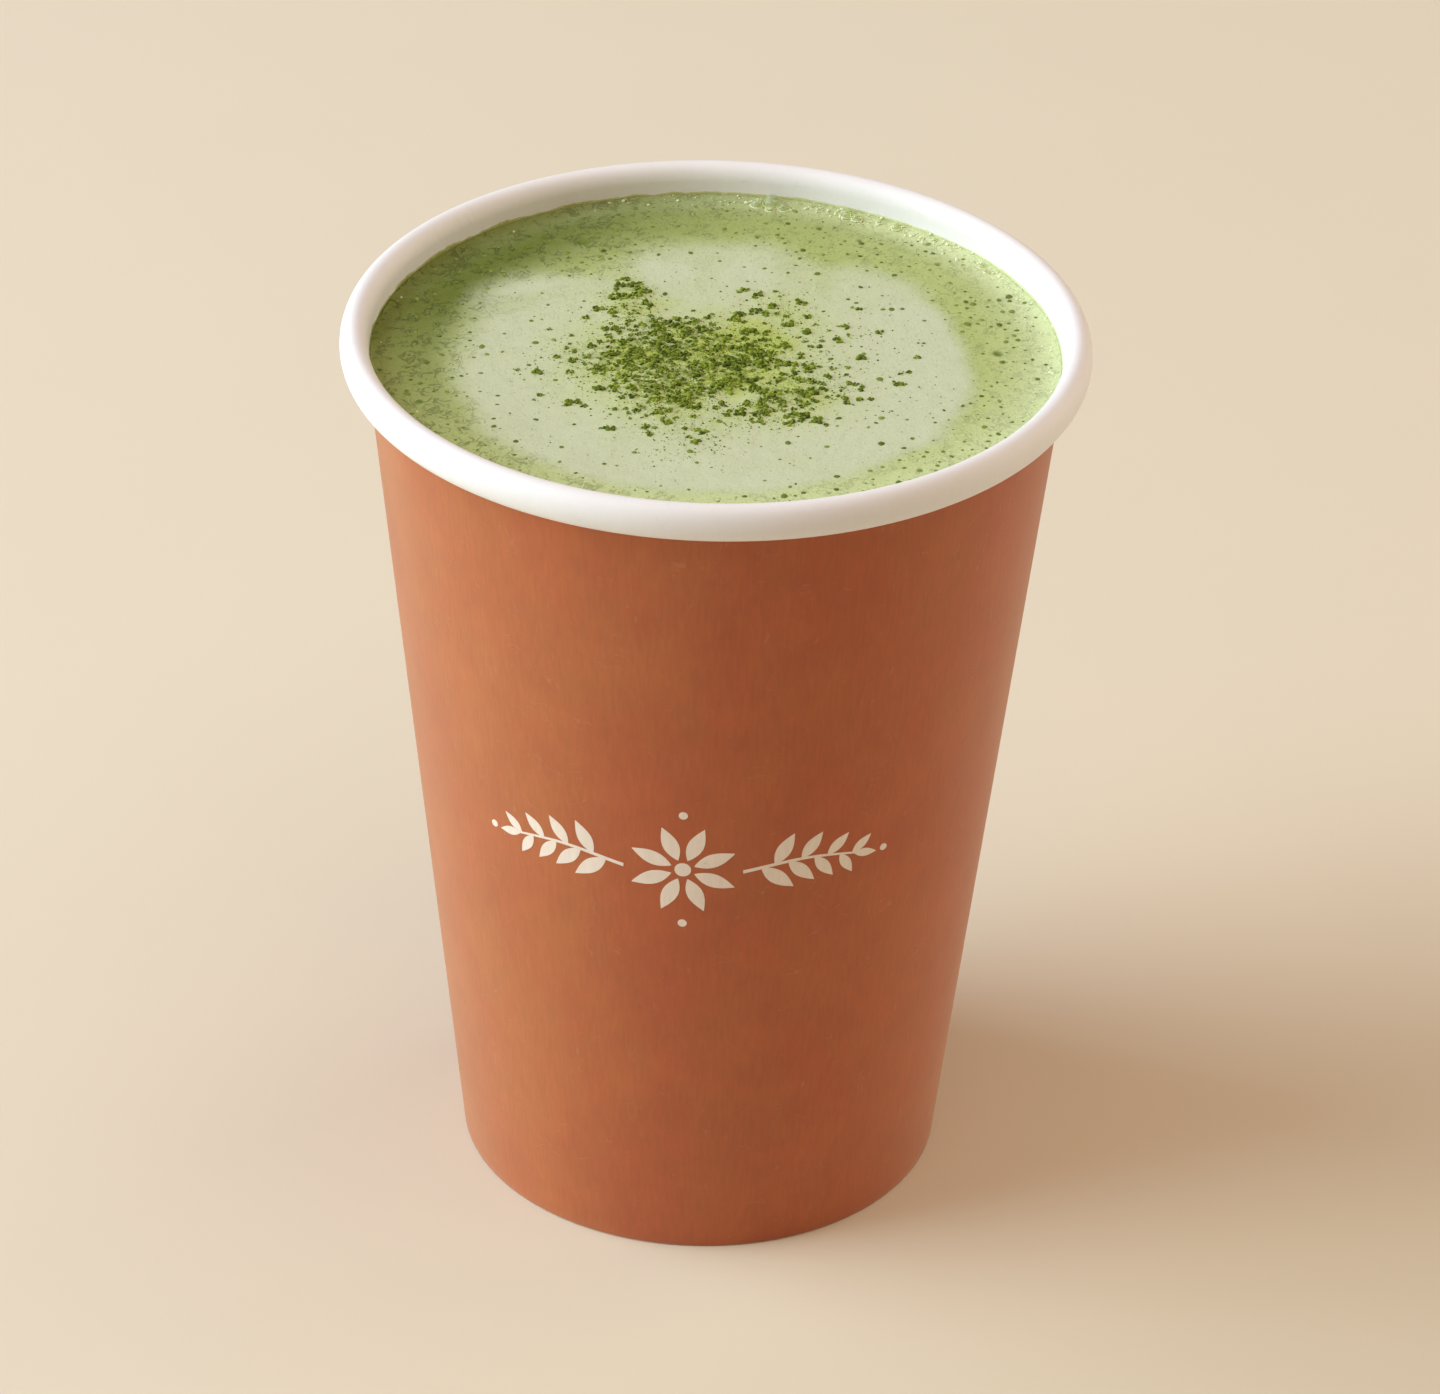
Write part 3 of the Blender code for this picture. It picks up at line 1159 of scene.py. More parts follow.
@dataclass(frozen=True)
class MilkPatch:
    """Where the pale milk lies in the green foam."""

    centre: Pair = (0.3, -2.0)
    radius: float = 31.5
    softness: float = 3.4
    waviness: float = 0.7
    back_start: float = 6.0
    back_end: float = 28.0
    back_fade: float = 0.34
    left: Notch = Notch(168.0, 34.0, 0.75)
    notches: tuple[Notch, ...] = marks(
        Notch,
        (126.0, 8.5, 5.2), (108.0, 9.0, 1.2), (64.0, 10.0, 2.4), (2.0, 20.0, 1.4), (151.0, 9.0, -1.7),
        (168.0, 9.0, 0.7), (184.0, 12.0, 0.9), (235.0, 24.0, -0.9), (300.0, 20.0, 0.7),
    )
    strokes: tuple[Stroke, ...] = marks(
        Stroke,
        ((-31.5, 5.5), (-28.0, 11.5), (-18.0, 15.3), 1.4, -0.30),
        ((-27.0, 16.0), (-21.5, 18.2), (-13.5, 18.6), 1.6, 0.14),
        ((-15.0, 23.5), (-7.0, 19.5), (1.0, 23.0), 1.7, 0.16),
        ((11.0, 30.0), (14.5, 24.0), (12.0, 14.0), 1.5, -0.24),
        ((-11.5, 24.0), (-10.5, 17.0), (-12.5, 10.0), 1.4, -0.28),
        ((2.5, 26.0), (4.5, 18.0), (4.0, 10.0), 2.0, 0.26),
        ((18.0, 22.0), (27.0, 8.0), (24.0, -12.0), 2.4, 0.12),
        ((9.0, -20.0), (4.0, -27.0), (-6.0, -31.0), 1.6, -0.08),
    )
    blobs: tuple[Drift, ...] = marks(
        Drift,
        (-6.3, 20.3, 1.6, 0.60), (3.4, 19.6, 2.2, 0.30), (-6.0, 26.0, 2.4, 0.16), (9.5, 8.5, 3.0, -0.10),
    )

    def share(self, places: Places) -> ndarray:
        """How milky the foam is at each place, from 0 to 1.

        Args:
            places: where it is asked for.

        Returns:
            The share of milk at each place.
        """
        edge = self.radius - sum(notch.at(places) for notch in self.notches)
        edge += self.waviness * (places.noise(3, 7.0) + 0.35 * places.noise(4, 2.6))
        backwards = smooth((places.y - self.back_start) / (self.back_end - self.back_start))
        soft = self.softness * (1.0 + 0.8 * backwards) * (1.0 + self.left.at(places))
        milk = smooth((edge - places.away(*self.centre)) / soft + 0.5)
        milk *= 1.0 - self.back_fade * backwards
        milk += sum(mark.at(places) for mark in self.strokes + self.blobs)
        return np.clip(milk * (1.0 + 0.09 * places.noise(5, 3.0)), 0.0, 1.0)


@dataclass(frozen=True)
class PowderDrifts:
    """How the sifted powder lies, thick in the middle with arms and a sparse fringe."""

    core: tuple[Drift, ...] = marks(
        Drift,
        (-6.0, -1.0, 4.4, 1.10), (-12.5, -2.5, 3.6, 0.50), (-17.5, -2.0, 2.4, 0.22),
        (-2.0, -5.0, 3.8, 0.82), (-7.0, -9.5, 3.8, 0.64), (-1.5, 4.5, 3.0, 0.70),
        (-6.5, 4.5, 2.8, 0.55), (-10.8, 9.5, 2.3, 0.72), (-9.8, 15.5, 1.7, 0.85),
        (4.5, 0.5, 3.2, 0.42), (8.5, -9.5, 3.6, 0.60), (5.5, -13.5, 3.0, 0.42),
        (12.5, -5.5, 2.8, 0.24), (7.0, 12.0, 2.7, 0.33), (8.5, 5.5, 4.2, 0.17),
        (-3.0, -16.5, 4.4, 0.34), (-3.0, -21.5, 3.4, 0.18), (15.5, -9.5, 4.4, 0.12),
        (16.0, 4.0, 6.0, 0.09), (-16.0, -9.0, 4.6, 0.07), (2.4, -10.8, 1.2, -0.70),
        (-4.0, 10.5, 1.8, -0.40),
    )
    ridge: Stroke = Stroke((-7.5, -14.0), (-1.0, -8.0), (7.5, 0.5), 1.2, 0.55)
    haze: tuple[Drift, ...] = marks(
        Drift,
        (-6.0, -2.5, 7.4, 1.10), (3.2, 2.5, 3.8, 0.80), (8.0, 6.0, 4.8, 0.36), (9.0, -9.5, 4.6, 0.62),
        (-10.0, 12.5, 2.8, 0.50), (-3.0, -15.5, 4.6, 0.32), (7.5, 13.5, 2.8, 0.28),
    )

    def thickness(self, places: Places) -> ndarray:
        """How thickly the powder lies at each place, from 0 to 1."""
        return laid((*self.core, self.ridge), places)

    def tinted(self, places: Places) -> ndarray:
        """How much fine dust tints the foam at each place, from 0 to 1."""
        hazy = sum(drift.at(places) for drift in self.haze)
        return np.clip(hazy * (1.0 + 0.5 * places.noise(21, 2.2)), 0.0, 1.0)


@dataclass
class Drink:
    """The matcha latte: a body up to its level and the foam's fine surface."""

    cup: PaperCup
    level: float = 110.0 * MM
    meniscus_rise: float = 0.35 * MM
    meniscus_width: float = 1.6
    swell: float = 0.10 * MM
    ripple: float = 0.03 * MM
    froth: float = 0.02 * MM
    mound: float = 0.22 * MM
    crumbs: float = 0.08 * MM
    hollow_depth: float = 0.16 * MM
    into_wall: float = 0.12 * MM
    side_levels: Pair = (100.0 * MM, 60.0 * MM)
    off_floor: float = 0.1 * MM
    pit_margin: float = 0.8
    pit_fade: float = 1.5
    froth_place: float = 1.1
    froth_spread: float = 0.7
    # the painted shade and painted light given to the drink's sides
    side_shade_and_light: float = 0.4
    cells: int = 280
    milk: MilkPatch = field(default_factory=MilkPatch)
    powder: PowderDrifts = field(default_factory=PowderDrifts)
    hollows: tuple[Hollow, ...] = marks(
        Hollow,
        (-16.6, 28.3, 0.85), (-14.1, 26.0, 0.42), (33.8, 2.0, 0.66), (27.0, 24.5, 0.40),
        (4.8, 31.0, 0.36), (-29.2, 21.4, 0.36), (24.0, -27.0, 0.40), (17.5, 30.5, 0.32),
    )
    # painted shade from the wall at the left and back, partly the foam's own deeper green
    shade_and_deep_tones: tuple[RingTone, ...] = marks(
        RingTone,
        (145.0, 40.0, 23.0, 35.0, 1.05), (100.0, 34.0, 34.5, 41.0, 0.50), (108.0, 46.0, 38.8, 41.4, 0.45),
    )
    # painted light, mostly at the right and the front
    painted_light_tones: tuple[RingTone, ...] = marks(
        RingTone,
        (-30.0, 42.0, 30.0, 37.0, 0.60), (200.0, 40.0, 35.0, 30.0, 0.50),
        (40.0, 46.0, 35.5, 40.0, 0.80), (-95.0, 32.0, 31.0, 35.0, 0.60),
    )

    @property
    def reach(self) -> float:
        """The surface's outer radius, just inside the board."""
        return self.cup.inner(self.level) + self.into_wall

    def surface_height(self, places: Places) -> ndarray:
        """Height of the foam at each place.

        Args:
            places: where it is asked for.

        Returns:
            The heights, in metres.
        """
        to_wall = (self.reach / MM - places.radius) / self.meniscus_width
        rise = self.meniscus_rise * np.clip(1.0 - to_wall, 0.0, 1.0) ** 2
        thick = self.powder.thickness(places)
        relief = self.swell * places.noise(11, 9.0) + self.ripple * places.noise(12, 1.8)
        relief += self.froth * places.noise(13, 0.7)
        heaped = thick * (self.mound + self.crumbs * places.noise(14, 0.6))
        return self.level + rise + relief + heaped - self.hollow_depth * laid(self.hollows, places)

    def disc(self) -> ndarray:
        """A square of even cells drawn onto a disc, so that no cell is thin.

        Returns:
            Its points at the foam's height, a square array by x, y and z.
        """
        side = np.linspace(-1.0, 1.0, self.cells + 1)
        a, b = np.meshgrid(side, side, indexing="ij")
        wide = np.abs(a) > np.abs(b)
        radius, other = np.where(wide, a, b), np.where(wide, b, a)
        share = np.divide(other, radius, out=np.zeros_like(a), where=radius != 0)
        angle = np.where(wide, math.pi / 4 * share, math.pi / 2 - math.pi / 4 * share)
        points = polar(self.reach * radius, angle, 0.0)
        points[..., 2] = self.surface_height(Places(points[..., 0], points[..., 1]))
        return points

    def mesh(self) -> Mesh:
        """The drink's body with its fine top.

        Returns:
            The mesh.
        """
        side = self.cells + 1
        index = np.arange(side * side).reshape(side, side)
        quads = np.stack([index[:-1, :-1], index[1:, :-1], index[1:, 1:], index[:-1, 1:]], axis=-1)
        faces = quads.reshape(-1, 4).tolist()
        points = self.disc().reshape(-1, 3)
        edge = np.concatenate([index[:-1, 0], index[-1, :-1], index[:0:-1, -1], index[0, :0:-1]])
        turned = np.arctan2(points[edge, 1], points[edge, 0])
        bottom = self.cup.floor_top + self.off_floor
        rings, loops = [points], [edge]
        for low in (*self.side_levels, bottom):
            set_out = -self.cup.clearance if low == bottom else self.into_wall
            loops.append(np.arange(len(edge)) + sum(len(r) for r in rings))
            rings.append(polar(self.cup.inner(low) + set_out, turned, low))
        for upper, lower in zip(loops, loops[1:]):
            ahead_up, ahead_low = np.roll(upper, -1), np.roll(lower, -1)
            faces += np.stack([lower, ahead_low, ahead_up, upper], axis=-1).tolist()
        faces.append(loops[-1][::-1].tolist())
        mesh = mesh_of("matcha_latte_drink", np.concatenate(rings), faces)
        mesh.shade_smooth()
        self.mark(mesh)
        return mesh

    def mark(self, mesh: Mesh) -> None:
        """Stores the foam's masks on the mesh.

        Args:
            mesh: the drink's mesh.
        """
        x, y, z = np.array([v.co for v in mesh.vertices]).T
        places, top = Places(x, y), z > self.level - 1.0 * MM
        milk, thick = self.milk.share(places), self.powder.thickness(places)
        from_wall = self.reach / MM - places.radius
        pits = (1.0 - 0.8 * milk) * smooth((from_wall - self.pit_margin) / self.pit_fade) * (1.0 - thick)
        sparse = 0.75 + 0.5 * places.noise(31, 5.0)
        beside = bell((from_wall - self.froth_place) / self.froth_spread)
        masks = {
            Mask.MILK: milk,
            Mask.DUST: self.powder.tinted(places),
            Mask.POWDER: thick,
            Mask.PITS: np.clip(pits * sparse, 0.0, 1.0),
            Mask.HOLLOW: 0.85 * laid(self.hollows, places),
            Mask.WALL_FROTH: beside * self.froth_by_angle(places),
        }
        for mask, values in masks.items():
            store(mesh, mask.value, np.where(top, values, 0.0))
        self.tone(mesh, places, top)

    def tone(self, mesh: Mesh, places: Places, top: ndarray | bool = True) -> None:
        """Stores the painted shade, partly a deeper green, and the painted light on the green, on the drink
        or its film.

        Args:
            mesh: the mesh that holds the places.
            places: its points.
            top: which of them are in the foam.
        """
        for mask, tones in ((Mask.SHADE_AND_DEEPEN, self.shade_and_deep_tones), (Mask.LIGHTEN, self.painted_light_tones)):
            store(mesh, mask.value, np.where(top, laid(tones, places), self.side_shade_and_light))

    def froth_by_angle(self, places: Places) -> ndarray:
        """How many small bubbles hug the wall at each angle, most of them at the back right."""
        share = places.towards(62.0, 22.0) + 0.45 * places.towards(12.0, 30.0) + 0.015
        return np.clip(share, 0.0, 1.0)

    def build(self, effects: Effects) -> Object:
        """Makes and dresses the drink.

        Args:
            effects: the shared shader groups.

        Returns:
            The drink, whose masks say where things lie on it.
        """
        drink = new_object("matcha_latte_drink", self.mesh())
        place_piece(drink, FoamFinish().build(effects), ["matcha_latte"])
        return drink


class Growth(Wiring):
    """Geometry Nodes being wired, with calls for what every tree of this object needs."""

    def named(self, name: str) -> Value:
        """A value stored on the points."""
        return self.value("GeometryNodeInputNamedAttribute", {"Name": name}, data_type="FLOAT")

    def stored(self, geometry: Value, name: str, value: Value) -> Value:
        """Stores a value on the points under a name.

        Args:
            geometry: the points.
            name: the attribute's name.
            value: what it holds.

        Returns:
            The points with the value.
        """
        inputs = {"Geometry": geometry, "Name": name}
        node = self.node("GeometryNodeStoreNamedAttribute", inputs, data_type="FLOAT", domain="POINT")
        feed(next(s for s in node.inputs if s.name == "Value" and s.enabled), value)
        return Value(node.outputs[0])

    def random(self, salt: int, low: object, high: object, kind: str = "FLOAT") -> Value:
        """A random value for each element.

        Args:
            salt: what is added to the tree's seed.
            low: the least value.
            high: the greatest value.
            kind: Blender's name for its type.

        Returns:
            The value.
        """
        node = self.node("FunctionNodeRandomValue", data_type=kind)
        live = [socket for socket in node.inputs if socket.enabled]
        for socket, value in zip(live, (low, high)):
            feed(socket, value)
        feed(node.inputs["Seed"], self.entry["Seed"] + float(salt))
        return Value(next(socket for socket in node.outputs if socket.enabled))

    def dressed(self, instances: Value) -> NodeTree:
        """Ends the tree with its instances made real and given their finish.

        Args:
            instances: what the tree has made.

        Returns:
            The finished tree.
        """
        real = self.value("GeometryNodeRealizeInstances", {"Geometry": instances})
        inputs = {"Geometry": real, "Material": self.entry["Finish"]}
        return self.leave({"Geometry": self.value("GeometryNodeSetMaterial", inputs)})


def grown(name: str, mesh: Mesh, tree: NodeTree, values: dict[str, object], share: str = "") -> Mesh:
    """Runs a Geometry Nodes tree on a mesh.

    Args:
        name: the name of the object that holds the mesh meanwhile.
        mesh: what the tree works on.
        tree: the tree.
        values: its inputs, by name.
        share: the attribute that its Share input reads.

    Returns:
        What has grown, as a plain mesh.
    """
    holder = new_object(name, mesh)
    modifier = holder.modifiers.new("grow", "NODES")
    modifier.node_group = tree
    for item in tree.interface.items_tree:
        if item.in_out == "INPUT" and item.name in values:
            modifier[item.identifier] = values[item.name]
        if item.in_out == "INPUT" and item.name == "Share":
            modifier[f"{item.identifier}_use_attribute"] = True
            modifier[f"{item.identifier}_attribute_name"] = share
    graph = bpy.context.evaluated_depsgraph_get()
    made = bpy.data.meshes.new_from_object(holder.evaluated_get(graph))
    bpy.data.objects.remove(holder, do_unlink=True)
    return made


def scatter_tree() -> NodeTree:
    """Geometry Nodes that strew small flattened shapes over the drink's surface.

    Returns:
        The tree. Each place may hold a clump, spread by the crumble times its size.
    """
    real = ("Share", "Spacing", "Most per Area", "Smallest", "Largest", "Skew", "Flatness", "Lift", "Crumble")
    inputs = {"Geometry": "Geometry", **dict.fromkeys(real, "Float")}
    inputs |= {"Per Place": "Int", "Seed": "Int", "Shapes": "Collection", "Finish": "Material"}
    tree = Growth.group("strewn_over_foam", "GeometryNodeTree", inputs, {"Geometry": "Geometry"})
    entry = tree.entry
    spread = {
        "Mesh": entry["Geometry"],
        "Distance Min": entry["Spacing"],
        "Density Max": entry["Most per Area"],
        "Density Factor": entry["Share"],
        "Seed": entry["Seed"],
    }
    places = tree.value("GeometryNodeDistributePointsOnFaces", spread, distribute_method="POISSON")
    chance = tree.math("POWER", tree.random(1, 0.0, 1.0), entry["Skew"])
    size = chance * (entry["Largest"] - entry["Smallest"]) + entry["Smallest"]
    copies = {"Geometry": tree.stored(places, "size", size), "Amount": entry["Per Place"]}
    copied = tree.value("GeometryNodeDuplicateElements", copies, domain="POINT")
    size, angle = tree.named("size"), tree.random(2, 0.0, math.tau)
    away = tree.math("SQRT", tree.random(3, 0.0, 1.0)) * entry["Crumble"] * size
    aside = tree.math("COSINE", angle) * away, tree.math("SINE", angle) * away
    offset = tree.joined(*aside, size * entry["Lift"])
    moved = tree.value("GeometryNodeSetPosition", {"Geometry": copied, "Offset": offset})
    shapes = {"Collection": entry["Shapes"], "Separate Children": True, "Reset Children": True}
    tilt = tree.random(4, (-GRAIN_TILT, -GRAIN_TILT, 0.0), (GRAIN_TILT, GRAIN_TILT, math.tau), "FLOAT_VECTOR")
    wide = size * tree.random(5, 0.7, 1.3)
    scale = tree.joined(wide, wide * tree.random(6, 0.65, 1.0), wide * entry["Flatness"])
    grains = {
        "Points": tree.stored(moved, Mask.TONE.value, tree.random(7, 0.0, 1.0)),
        "Instance": tree.value("GeometryNodeCollectionInfo", shapes),
        "Pick Instance": True,
        "Instance Index": tree.random(8, 0, GRAIN_SHAPES - 1, "INT"),
        "Rotation": tree.value("FunctionNodeEulerToRotation", {0: tilt}),
        "Scale": scale,
    }
    return tree.dressed(tree.value("GeometryNodeInstanceOnPoints", grains))


@dataclass(frozen=True)
class Sprinkle:
    """One kind of small thing on the foam, made of nudged balls."""

    name: str
    mask: Mask
    seed: int
    spacing: float
    most_per_mm2: float
    smallest: float
    largest: float
    skew: float = 1.8
    flatness: float = 0.8
    lift: float = 0.1
    per_place: int = 1
    crumble: float = 0.0
    fineness: int = 1
    nudge: float = 0.25

    def _grain(self, number: int) -> Object:
        """A grain one metre in radius, to be scaled.

        Args:
            number: which of the shapes it is.

        Returns:
            The grain, outside the scene.
        """

        def model(bm: BMesh) -> None:
            """A ball with its points nudged.

            Args:
                bm: the bmesh to fill.
            """
            rng = np.random.default_rng(100 * self.seed + number)
            bmesh.ops.create_icosphere(bm, subdivisions=self.fineness, radius=1.0)
            for vert in bm.verts:
                vert.co *= 1.0 + self.nudge * rng.uniform(-1.0, 1.0)

        name = f"{self.name}_shape_{number}"
        return bpy.data.objects.new(name, modelled(name, model))

    def strew(self, over: Object, scatter: NodeTree, finish: Material) -> None:
        """Strews the grains over a surface and dresses them as one piece.

        Args:
            over: the drink, whose masks say where they lie.
            scatter: the tree that strews.
            finish: their material.
        """
        shapes = bpy.data.collections.new(f"{self.name}_shapes")
        for number in range(GRAIN_SHAPES):
            shapes.objects.link(self._grain(number))
        values = {
            "Spacing": self.spacing * MM,
            "Most per Area": self.most_per_mm2 / MM**2,
            "Smallest": self.smallest * MM,
            "Largest": self.largest * MM,
            "Skew": self.skew,
            "Flatness": self.flatness,
            "Lift": self.lift,
            "Per Place": self.per_place,
            "Crumble": self.crumble,
            "Seed": self.seed,
            "Shapes": shapes,
            "Finish": finish,
        }
        mesh = grown(f"{self.name}_holder", over.data.copy(), scatter, values, self.mask.value)
        for shape in list(shapes.objects):
            bpy.data.objects.remove(shape, do_unlink=True)
        bpy.data.collections.remove(shapes)
        place_piece(new_object(self.name, mesh), finish)


CLUMPS = Sprinkle(
    "powder_clumps", Mask.POWDER, 41, 0.72, 2.05, 0.12, 0.32, 1.6, 0.75, 0.25, 10, 2.3, nudge=0.28
)
GRAINS = Sprinkle("powder_grains", Mask.POWDER, 42, 0.12, 7.0, 0.05, 0.14, lift=0.2)
CRUMBS = Sprinkle(
    "powder_crumbs", Mask.POWDER, 41, 0.72, 2.05, 0.05, 0.11, 1.6, 0.7, per_place=12, crumble=8.5
)
DUST = Sprinkle("powder_dust", Mask.DUST, 43, 0.10, 6.0, 0.03, 0.08, nudge=0.2)
PITS = Sprinkle(
    "foam_pits", Mask.PITS, 51, 0.95, 0.72, 0.14, 0.46, 1.6, 0.35, -0.12, fineness=2, nudge=0.04
)
WALL_FROTH = Sprinkle(
    "wall_froth", Mask.WALL_FROTH, 71, 0.35, 5.0, 0.08, 0.26, 1.8, 0.7, 0.2, fineness=2, nudge=0.03
)


@dataclass
class SiftedPowder:
    """The matcha powder, and the small open bubbles in the foam, which look like dark pits."""

    powder: GrainFinish = GrainFinish("matcha_powder", (0.22, 0.29, 0.06), (0.57, 0.65, 0.21))
    fresh: GrainFinish = GrainFinish("matcha_dust", (0.50, 0.58, 0.18), (0.74, 0.79, 0.40))
    pit: GrainFinish = GrainFinish("foam_pit", (0.35, 0.43, 0.16), (0.54, 0.62, 0.29), 0.35)

    def build(self, drink: Object, scatter: NodeTree) -> None:
        """Strews and dresses the powder, then the pits.

        Args:
            drink: the drink.
            scatter: the tree that strews.
        """
        kinds = ((self.powder, (CLUMPS, GRAINS)), (self.fresh, (CRUMBS, DUST)), (self.pit, (PITS,)))
        for look, sprinkles in kinds:
            finish = look.build()
            for sprinkle in sprinkles:
                sprinkle.strew(drink, scatter, finish)


@dataclass
class WallFilm:
    """The thin scalloped edge of foam that clings to the wall above the drink."""

    drink: Drink
    steps: int = 900
    rows: int = 5
    below: float = 0.3 * MM
    lowest: float = 0.10 * MM
    scallop: float = 0.30 * MM
    thickness: float = 0.05 * MM
    into_wall: float = 0.06 * MM

    def tops(self, angle: ndarray) -> ndarray:
        """How high above the level the film reaches at each angle.

        Args:
            angle: the angles, in radians.

        Returns:
            The heights, in metres.
        """
        along = self.drink.reach * angle
        waves = Places(along, 0.0 * along).noise(61, 2.3) * np.sin(angle / 2.0) ** 0.5
        fine = Places(along, along * np.abs(np.cos(angle / 2.0))).noise(62, 0.8)
        left = bell((np.degrees(angle) - 150.0) / 55.0)
        height = self.lowest + self.scallop * (0.30 + 0.45 * left) * (1.0 + 0.8 * waves + 0.4 * fine)
        return self.drink.meniscus_rise + np.maximum(height, 0.5 * self.lowest)

    def mesh(self) -> Mesh:
        """A thin closed band, its back just inside the board.

        Returns:
            The mesh.
        """
        angle = np.linspace(0.0, math.tau, self.steps, endpoint=False)
        base = self.drink.level - self.below
        tall = self.tops(angle) + self.below
        shares = np.linspace(0.0, 1.0, self.rows)
        front = [(share, -self.thickness * (1.0 - 0.75 * share)) for share in shares]
        rings = []
        for share, set_out in [*front, (1.0, self.into_wall), (0.0, self.into_wall)]:
            z = base + share * tall
            rings.append(polar(self.drink.cup.inner(z) + set_out, angle, z))
        mesh = united("wall_film", [lofted("film", np.stack(rings, axis=1))])
        x, y, _ = np.array([v.co for v in mesh.vertices]).T
        # the same painted shade and painted light as on the foam
        self.drink.tone(mesh, Places(x, y))
        return mesh

    def build(self, effects: Effects) -> None:
        """Makes and dresses the film."""
        finish = FilmFinish("wall_film", FILM_GREENS).build(effects)
        place_piece(new_object("wall_film", self.mesh()), finish)


@dataclass(frozen=True)
class Bubble:
    """A clear bubble at the wall, by its angle, its distance from the wall and its radius."""

    angle: float
    inset: float
    radius: float


@dataclass
class WallBubbles:
    """The clear bubbles that hug the wall, each in a pale collar of foam."""

    drink: Drink
    large: tuple[Bubble, ...] = marks(
        Bubble,
        (80.5, 1.40, 1.15), (83.2, 1.95, 0.80), (78.2, 2.30, 0.70), (80.6, 2.95, 0.52), (66.8, 1.15, 0.85),
        (64.6, 1.60, 0.65), (57.0, 1.10, 0.60), (73.5, 0.80, 0.42), (60.6, 0.90, 0.40), (49.0, 0.90, 0.45),
        (36.5, 1.00, 0.50), (34.6, 1.50, 0.34),
    )
    shows: float = 0.56
    collar: float = 0.13 * MM
    collar_lift: float = 0.02 * MM
    around: int = 40
    across: int = 8

    def _skin(self, bubble: Bubble) -> tuple[ndarray, float]:
        """A bubble's centre and radius, with the share of it that shows above the foam.

        Args:
            bubble: the bubble.

        Returns:
            Its centre and its radius, in metres.
        """
        radius = bubble.radius * MM
        height = self.drink.level + (2.0 * self.shows - 1.0) * radius
        reach = self.drink.reach - bubble.inset * MM
        return polar(reach, np.radians(bubble.angle), height), radius

    def _skins(self, bm: BMesh) -> None:
        """Makes the bubbles' round skins.

        Args:
            bm: the bmesh to fill.
        """
        for centre, radius in map(self._skin, self.large):
            place = Matrix.Translation(centre.tolist())
            bmesh.ops.create_icosphere(bm, subdivisions=4, radius=radius, matrix=place)

    def _collar(self, bubble: Bubble) -> Mesh:
        """The ring of foam where a bubble meets the drink.

        Args:
            bubble: the bubble.

        Returns:
            The collar's mesh.
        """
        centre, radius = self._skin(bubble)
        wide = math.sqrt(radius**2 - (centre[2] - self.drink.level) ** 2) + 0.2 * self.collar
        turned = math.tau * np.arange(self.around)[:, None] / self.around
        tilt = math.tau * np.arange(self.across) / self.across
        rise = self.drink.level + self.collar_lift + 0.7 * self.collar * np.sin(tilt)
        ring = polar(wide + self.collar * np.cos(tilt), turned, rise)
        ring[..., :2] += centre[:2]
        return lofted("collar", ring)

    def build(self, surface: Object, scatter: NodeTree, effects: Effects) -> None:
        """Makes and dresses the bubbles.

        Args:
            surface: the drink, whose masks say where the froth lies.
            scatter: the tree that strews.
            effects: the shared shader groups.
        """
        skins = modelled("wall_bubbles", self._skins)
        skins.shade_smooth()
        place_piece(new_object("wall_bubbles", skins), BubbleFinish().build())
        pale = FilmFinish("bubble_foam", BUBBLE_GREENS).build(effects)
        collars = united("bubble_collars", [self._collar(bubble) for bubble in self.large])
        place_piece(new_object("bubble_collars", collars), pale)
        WALL_FROTH.strew(surface, scatter, pale)


def leaf_tree() -> NodeTree:
    """Geometry Nodes that put a leaf on each point, turned and sized as the point says.

    Returns:
        The tree.
    """
    inputs = {"Geometry": "Geometry", "Leaf": "Object", "Finish": "Material"}
    tree = Growth.group("leaves_on_points", "GeometryNodeTree", inputs, {"Geometry": "Geometry"})
    turned = tree.joined(0.0, 0.0, tree.named("turned"))
    length = tree.named("length")
    leaves = {
        "Points": tree.entry["Geometry"],
        "Instance": tree.value("GeometryNodeObjectInfo", {"Object": tree.entry["Leaf"]}, "Geometry"),
        "Rotation": tree.value("FunctionNodeEulerToRotation", {0: turned}),
        "Scale": tree.joined(length, length, 1.0),
    }
    return tree.dressed(tree.value("GeometryNodeInstanceOnPoints", leaves))


